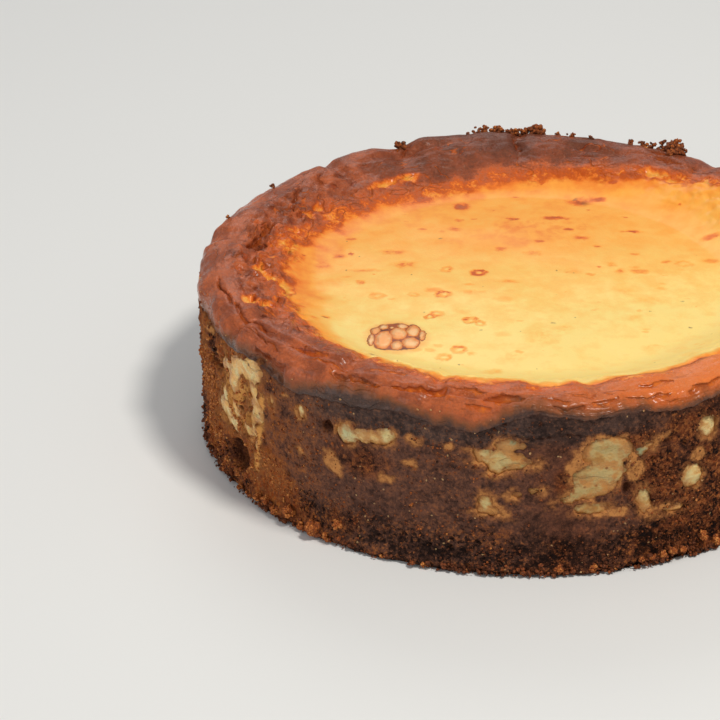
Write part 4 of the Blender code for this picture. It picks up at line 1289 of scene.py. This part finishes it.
def shape_crust(piece, sizes):
    """Makes the turned crust grainy, opens its gaps and holes and flares its foot."""
    mesh = piece.data
    places = places_of(mesh)
    radius = radius_of(places)
    height = places[:, 2]
    azimuth = crowd_to_front(azimuth_of(places))
    outer = (radius > sizes.cake_radius - 0.0001) & (height > 0.0001)
    upright = height > sizes.base_thickness + 0.001
    edge = lip_edge(azimuth)
    stretch = (edge + 0.0016) / CRUST_TOP
    height = np.where(upright | outer, height * (1 + (stretch - 1) * ramp(0.004, CRUST_TOP, height)), height)
    level = at(azimuth, sizes.cake_radius, height)
    coarse = coarseness(azimuth, height)

    relief = 0.00026 * noise_at(level, 0.009) + 0.00026 * coarse * noise_at(level, 0.0036, 2.0)
    relief += 0.00060 * coarse * (0.45 - cells_at(level, 0.0023, 1.0))
    leftward = toward(azimuth, -66.0, 40.0)
    chunks = 0.45 - cells_at(at(azimuth, WALL_RADIUS, 0.6 * height), 0.0052, 33.0)
    relief += leftward * (0.0022 * chunks + 0.0006 * noise_at(level, 0.0030, 44.0))
    relief += 0.00026 * coarse * (0.45 - cells_at(level, 0.0012, 6.0))
    relief -= 0.0012 * ramp(0.24, 0.06, cells_at(level, 0.0050, 9.0)) * np.clip(coarse, 0, 1)
    upright_folds = noise_at(at(azimuth, 5.0, height * 22.0), 0.13, 9.0)
    relief += 0.00050 * upright_folds * toward(azimuth, -72.0, 26.0)
    foot = ramp(0.0070, 0.0015, height) * (0.35 + 0.65 * ramp(-84.0, -70.0, azimuth))
    flare = 0.0008 + 0.0006 * noise_at(level, 0.0050, 17.0)
    relief += foot * (flare + 0.0004 * ring_noise(azimuth, 9.0, 3.0))
    relief -= 0.0016 * ramp(0.0026, 0.0, height) * ramp(-0.1, 0.6, noise_at(level, 0.008, 19.0))
    crease = 0.0488 + 0.0012 * ring_noise(azimuth, 10.0, 13.0)
    seam = bump(height - crease, 0.0005) * toward(azimuth, 5.0, 15.0)
    relief -= 0.0007 * seam
    gap = gap_field(level)
    relief = np.maximum(relief, -0.0005 - 0.0012 * ramp(-2.4, -3.2, gap))
    deep, sunk = wall_holes(azimuth, height, level)
    open_gap = ramp(-0.15, 0.40, gap)
    top_edge = ramp(0.0, 0.0014, height - edge)
    wall_radius = sizes.cake_radius + relief - sunk - 0.0036 * open_gap - 0.0016 * top_edge
    places = np.where(outer[:, None], at(azimuth, wall_radius, height), at(azimuth, radius, height))
    places[:, 2] = np.maximum(places[:, 2], 0.0)
    move_to(mesh, places)

    # Colour: near black under the lip, with painted shade right under its edge, milk-chocolate in the middle,
    # dark and coarse below
    mottled = noise_at(level, 0.014, 4.0)
    front = toward(azimuth, -6.0, 46.0)
    low = ramp(0.017, 0.008, height + 0.003 * mottled)
    band = ramp(0.0430, 0.0480, height + 0.0016 * mottled) * np.clip(front * 1.6, 0, 1)
    unseen = ramp(75.0, 110.0, np.abs(turn_between(azimuth, -10.0)))
    rusty = ramp(-3.0, 3.5, ovals(azimuth, height, RUSTY_PATCHES) + 1.4 * noise_at(level, 0.005, 37.0))
    tone = 0.455 + 0.04 * mottled - (0.12 + 0.07 * front) * low
    tone -= 0.07 * band
    tone += (0.03 + 0.40 * leftward) * rusty
    tone += 0.14 * toward(azimuth, -46.0, 24.0) - 0.05 * toward(azimuth, 6.0, 12.0)
    tone += 0.11 * leftward + 0.03 * low - 0.03 * toward(azimuth, 30.0, 16.0)
    tone += 0.22 * leftward * noise_at(level, 0.0042, 61.0) + 0.16 * leftward * chunks
    tone += 0.06 * unseen * (1 - 0.5 * low)
    # Lighter on the flared foot, then painted shade in the lowest strip where the foot tucks in over the
    # floor
    tone += 0.12 * ramp(0.0060, 0.0015, height) - 0.20 * ramp(0.0018, 0.0, height)
    store(mesh, "tone", tone)
    # Rust patches, plus painted warm bounced light at the right, the left and the foot
    rust_and_painted_bounce = 0.12 + 0.75 * rusty + 0.35 * toward(azimuth, 34.0, 26.0) + 0.35 * unseen - 0.25 * band
    rust_and_painted_bounce += 0.35 * toward(azimuth, 8.0, 12.0) + 0.30 * toward(azimuth, 30.0, 16.0)
    rust_and_painted_bounce += 0.55 * toward(azimuth, -64.0, 34.0) + 0.2 * ramp(0.006, 0.001, height)
    store(mesh, "rust_and_painted_bounce", np.clip(rust_and_painted_bounce, 0, 1))
    # Painted blue reflection on the dark band under the lip, kept off the rust patches
    store(mesh, "painted_blue_reflection", band * (1 - rusty))
    store(mesh, "grain", np.clip(0.10 + 0.52 * coarse * (1 - 0.6 * band) + 0.40 * rusty, 0, 1))
    stain = ramp(-0.8, 1.5, ovals(azimuth, height, STAINS) + 0.8 * noise_at(level, 0.003, 7.0))
    halo = ramp(-3.4, 0.2, gap) * ramp(-0.9, 0.4, noise_at(level, 0.0045, 29.0))
    buttery = toward(azimuth, -55.5, 12.0) * ramp(0.019, 0.028, height) * ramp(0.051, 0.046, height)
    buttery *= ramp(-0.6, 0.35, noise_at(level, 0.0040, 63.0))
    leaning = -49.6 + 0.10 * (height - 0.02) * 1000
    edge_line = toward(azimuth, leaning, 1.6) * ramp(0.008, 0.014, height)
    buttery = np.maximum(buttery, 1.1 * edge_line * ramp(0.046, 0.040, height))
    store(mesh, "stain", np.maximum(np.maximum(stain, 0.95 * halo), buttery) * outer)
    store(mesh, "butter", buttery * outer)
    # Painted shade, stored for the holes, the seam and the strip just under the lip's edge
    under = ramp(0.0012, 0.0, edge - height)
    store(mesh, "deep", np.maximum(np.maximum(deep, 0.8 * seam), 0.4 * under) * outer)


class CHEESECAKE_OT_crust(bpy.types.Operator):
    """Model the pressed crumb crust"""

    bl_idname = "cheesecake.crust"
    bl_label = "Crust"

    def execute(self, context):
        sizes = context.scene.cheesecake_sizes
        piece = turn_outline("crust", crust_outline(sizes), sizes.crust_turns)
        shape_crust(piece, sizes)
        finish_piece(piece, crust_finish(), "crumb_crust")
        return {"FINISHED"}


def crumb_patterns(subdivisions, count, seed):
    """A few angular crumbs of radius 1, as (places, faces)."""
    draw = np.random.default_rng(seed)
    patterns = []
    for number in range(count):
        deselect()
        bpy.ops.mesh.primitive_ico_sphere_add(subdivisions=subdivisions, radius=1.0)
        sample = bpy.context.object
        bpy.ops.object.mode_set(mode="EDIT")
        bpy.ops.transform.vertex_random(offset=0.16, uniform=0.6, normal=0.4, seed=number)
        bpy.ops.transform.resize(value=(1.0, draw.uniform(0.7, 1.0), draw.uniform(0.6, 0.9)))
        bpy.ops.object.mode_set(mode="OBJECT")
        corners = places_of(sample.data)
        dents = 1 + 0.30 * noise_at(corners, 0.8, number * 3.1)
        faces = np.array([face.vertices[:] for face in sample.data.polygons])
        patterns.append((corners * dents[:, None], faces))
        bpy.data.objects.remove(sample)
    return patterns


def scatter(name, patterns, middles, sizes, shades, seed):
    """One mesh of many crumbs: each a turned and sized copy of a pattern."""
    draw = np.random.default_rng(seed)
    corners, faces, tones, start = [], [], [], 0
    for middle, size, shade in zip(middles, sizes, shades):
        pattern, pattern_faces = patterns[draw.integers(len(patterns))]
        turn = np.array(Matrix.Rotation(draw.uniform(0, math.tau), 3, Vector(draw.normal(size=3))))
        corners.append(pattern @ turn * size + middle)
        faces.append(pattern_faces + start)
        tones.append(np.full(len(pattern), shade))
        start += len(pattern)
    mesh = bpy.data.meshes.new(name)
    mesh.from_pydata(np.concatenate(corners).tolist(), [], np.concatenate(faces).tolist())
    mesh.shade_smooth()
    store(mesh, "shade", np.concatenate(tones))
    piece = bpy.data.objects.new(name, mesh)
    bpy.context.scene.collection.objects.link(piece)
    return piece


def loose_crumb():
    return bpy.data.materials.get("loose_crumb") or loose_finish()


class CHEESECAKE_OT_wall_crumbs(bpy.types.Operator):
    """Strew the grains that stand out of the crust's wall"""

    bl_idname = "cheesecake.wall_crumbs"
    bl_label = "Wall crumbs"

    def execute(self, context):
        sizes = context.scene.cheesecake_sizes
        crust = bpy.data.objects["crust"].data
        places, normals = places_of(crust), normals_of(crust)
        radius, azimuth = radius_of(places), azimuth_of(places)
        draw = np.random.default_rng(5)
        gap = gap_field(places)
        under = lip_edge(azimuth) - places[:, 2]
        shown = (radius > sizes.cake_radius - 0.0008) & (under > 0.0006)
        shown &= (gap < -0.1) & (places[:, 2] > 0.001)
        coarse = coarseness(azimuth, places[:, 2])
        wanted = (0.10 + coarse) * np.clip(0.5 + 0.9 * noise_at(places, 0.011, 2.0), 0.08, 2.0) * shown
        picked = draw.choice(len(places), sizes.wall_crumbs, replace=False, p=wanted / wanted.sum())
        size = 0.00017 + 0.00052 * draw.power(0.42, len(picked)) * draw.uniform(0.5, 1.0, len(picked))
        size *= 1 + 0.7 * toward(azimuth[picked], -66.0, 36.0)
        tone = np.empty(len(places), dtype=np.float32)
        crust.attributes["tone"].data.foreach_get("value", tone)
        shade = np.clip(tone[picked] + 0.07 + draw.normal(0.0, 0.13, len(picked)), 0.05, 0.86)
        shade = np.where(draw.random(len(picked)) > 0.984, 0.95, shade)
        middles = places[picked] + normals[picked] * (0.10 * size)[:, None]
        patterns = crumb_patterns(1, 8, 3)
        piece = scatter("wall_crumbs", patterns, middles, size, shade, 6)
        finish_piece(piece, loose_crumb())
        return {"FINISHED"}


class CHEESECAKE_OT_foot_crumbs(bpy.types.Operator):
    """Strew the loose crumbs along the foot"""

    bl_idname = "cheesecake.foot_crumbs"
    bl_label = "Foot crumbs"

    def execute(self, context):
        sizes = context.scene.cheesecake_sizes
        draw = np.random.default_rng(9)
        azimuth = draw.uniform(-180, 180, sizes.foot_crumbs * 3)
        density = np.clip(0.55 + 0.6 * ring_noise(azimuth, 8.0, 2.0), 0.1, 1.2)
        density *= 0.35 + 0.65 * ramp(-86.0, -70.0, azimuth)
        azimuth = azimuth[draw.random(len(azimuth)) < density / 1.2][: sizes.foot_crumbs]
        size = 0.00022 + 0.00075 * draw.power(0.40, len(azimuth))
        level = size * 0.75 + np.abs(draw.normal(0, 0.0016, len(azimuth)))
        out = 0.0002 + draw.uniform(-0.3, 1.0, len(azimuth)) * 0.0015 * ramp(0.005, 0.0, level) + 0.2 * size
        middles = [at(azimuth, sizes.cake_radius + out, level)]
        shade = [0.50 + 0.08 * ring_noise(azimuth, 5.0, 6.0)]
        size = [size]
        clumps = FOOT_CLUMPS + tuple(
            (draw.uniform(42, 268), draw.uniform(0.8, 3.2), draw.uniform(0.8, 1.8), draw.integers(8, 28))
            for _ in range(44)
        )
        for turn, up, spread, count in clumps:
            middle = at(np.full(count, turn), sizes.cake_radius + 0.0003 + 0.00025 * spread, up / 1000)
            around = draw.normal(0, 1.0, (count, 3))
            around *= (draw.uniform(0.3, 1.0, count) / np.linalg.norm(around, axis=1))[:, None]
            middles.append(middle + around * (0.85 * spread / 1000))
            size.append(draw.uniform(0.22, 0.62, count) * spread / 1000 + 0.00012)
            shade.append(np.full(count, draw.uniform(0.70, 0.84)))
        middles, size, shade = np.concatenate(middles), np.concatenate(size), np.concatenate(shade)
        shade = np.clip(shade + draw.normal(0, 0.08, len(shade)), 0.1, 0.86)
        middles[:, 2] = np.maximum(middles[:, 2], size * 0.7)
        piece = scatter("foot_crumbs", crumb_patterns(1, 12, 4), middles, size, shade, 8)
        corners = places_of(piece.data)
        corners[:, 2] = np.maximum(corners[:, 2], 0.0)
        move_to(piece.data, corners)
        finish_piece(piece, loose_crumb())
        return {"FINISHED"}


class CHEESECAKE_OT_rim_crumbs(bpy.types.Operator):
    """Strew the crumbs stuck on the rim"""

    bl_idname = "cheesecake.rim_crumbs"
    bl_label = "Rim crumbs"

    def execute(self, context):
        draw = np.random.default_rng(14)
        custard = bpy.data.objects["custard"].data
        places = places_of(custard)
        middles, size, shade = [], [], []
        for azimuth, radius, spread, count in CRUMB_HEAPS:
            ground = places[np.argmin(np.linalg.norm(places - at(azimuth, radius, 0.060), axis=1))]
            heap = ground + draw.normal(0, spread * 0.55, (count, 3)) + (0, 0, 0.45 * spread)
            middles.append(heap)
            size.append(draw.uniform(0.28, 0.66, count) * spread * 0.78 + 0.0002)
            shade.append(draw.normal(0.60, 0.10, count))
        radius = radius_of(places)
        edge = (radius > 0.1070) & (places[:, 2] > lip_edge(azimuth_of(places)))
        edge &= places[:, 2] < 0.0560
        picked = draw.choice(np.flatnonzero(edge), 64, replace=False)
        middles.append(places[picked])
        size.append(draw.uniform(0.0002, 0.00050, len(picked)))
        shade.append(np.where(draw.random(len(picked)) > 0.45, 0.95, 0.66))
        middles, size, shade = np.concatenate(middles), np.concatenate(size), np.concatenate(shade)
        piece = scatter("rim_crumbs", crumb_patterns(2, 8, 12), middles, size, shade, 15)
        finish_piece(piece, loose_crumb())
        return {"FINISHED"}


def soft_light(name, place, target, size, power, tint):
    light = bpy.data.lights.new(name, "AREA")
    light.shape = "DISK"
    light.size = size
    light.energy = power
    light.color = tint
    lamp = bpy.data.objects.new(name, light)
    lamp.location = place
    lamp.rotation_euler = (Vector(target) - Vector(place)).to_track_quat("-Z", "Y").to_euler()
    bpy.context.scene.collection.objects.link(lamp)


class CHEESECAKE_OT_stage(bpy.types.Operator):
    """Set up the floor, the soft light and the camera"""

    bl_idname = "cheesecake.stage"
    bl_label = "Stage"

    def execute(self, context):
        stage = context.scene.cheesecake_stage
        deselect()
        bpy.ops.mesh.primitive_plane_add(size=8.0, location=(0, 0, -0.0002))
        floor = bpy.context.object
        floor.name = "floor"
        finish = Finish("floor_paint")
        finish.set(Base_Color=tuple(stage.floor), Roughness=0.7)
        floor.data.materials.append(finish.material)

        middle = (0.0, 0.0, 0.03)
        soft_light("key", (0.55, -0.45, 1.40), middle, 0.3, stage.key_power, (1.0, 0.96, 0.90))
        soft_light("fill", (-1.3, -0.85, 0.52), middle, 1.1, stage.fill_power, (0.92, 0.96, 1.0))
        soft_light("back", (-0.2, 1.2, 1.1), middle, 0.9, stage.back_power, (1.0, 0.98, 0.95))
        world = context.scene.world or bpy.data.worlds.new("surroundings")
        context.scene.world = world
        world.use_nodes = True
        world.node_tree.nodes["Background"].inputs["Color"].default_value = (0.95, 0.97, 1.0, 1)
        world.node_tree.nodes["Background"].inputs["Strength"].default_value = stage.sky
        context.scene.view_settings.view_transform = "Standard"

        lens = bpy.data.cameras.new("view")
        lens.lens = stage.focal_length
        lens.sensor_width = 36.0
        lens.clip_end = 20.0
        camera = bpy.data.objects.new("view", lens)
        yaw, pitch, roll = stage.camera_turn
        camera.matrix_world = (
            Matrix.Translation(stage.camera_place)
            @ Matrix.Rotation(-yaw, 4, "Z")
            @ Matrix.Rotation(math.pi / 2 - pitch, 4, "X")
            @ Matrix.Rotation(-roll, 4, "Z")
        )
        context.scene.collection.objects.link(camera)
        context.scene.camera = camera
        return {"FINISHED"}


class CHEESECAKE_PT_panel(bpy.types.Panel):
    """The cheesecake's operators, sizes and colours"""

    bl_label = "Cheesecake"
    bl_idname = "CHEESECAKE_PT_panel"
    bl_space_type = "VIEW_3D"
    bl_region_type = "UI"
    bl_category = "Cheesecake"

    def draw(self, context):
        for step in STEPS:
            self.layout.operator(f"cheesecake.{step}")
        for name in ("cheesecake_sizes", "cheesecake_colours", "cheesecake_stage"):
            group = getattr(context.scene, name)
            box = self.layout.box()
            for field in group.bl_rna.properties:
                if field.identifier not in {"rna_type", "name"}:
                    box.prop(group, field.identifier)


STEPS = ("custard", "crust", "wall_crumbs", "foot_crumbs", "rim_crumbs", "stage")

CLASSES = (
    CHEESECAKE_PG_sizes,
    CHEESECAKE_PG_colours,
    CHEESECAKE_PG_stage,
    CHEESECAKE_OT_custard,
    CHEESECAKE_OT_crust,
    CHEESECAKE_OT_wall_crumbs,
    CHEESECAKE_OT_foot_crumbs,
    CHEESECAKE_OT_rim_crumbs,
    CHEESECAKE_OT_stage,
    CHEESECAKE_PT_panel,
)


def register():
    for each in CLASSES:
        bpy.utils.register_class(each)
    bpy.types.Scene.cheesecake_sizes = bpy.props.PointerProperty(type=CHEESECAKE_PG_sizes)
    bpy.types.Scene.cheesecake_colours = bpy.props.PointerProperty(type=CHEESECAKE_PG_colours)
    bpy.types.Scene.cheesecake_stage = bpy.props.PointerProperty(type=CHEESECAKE_PG_stage)


def unregister():
    del bpy.types.Scene.cheesecake_stage
    del bpy.types.Scene.cheesecake_colours
    del bpy.types.Scene.cheesecake_sizes
    for each in reversed(CLASSES):
        bpy.utils.unregister_class(each)


def main():
    register()
    for step in STEPS:
        getattr(bpy.ops.cheesecake, step)()


if __name__ == "__main__":
    main()
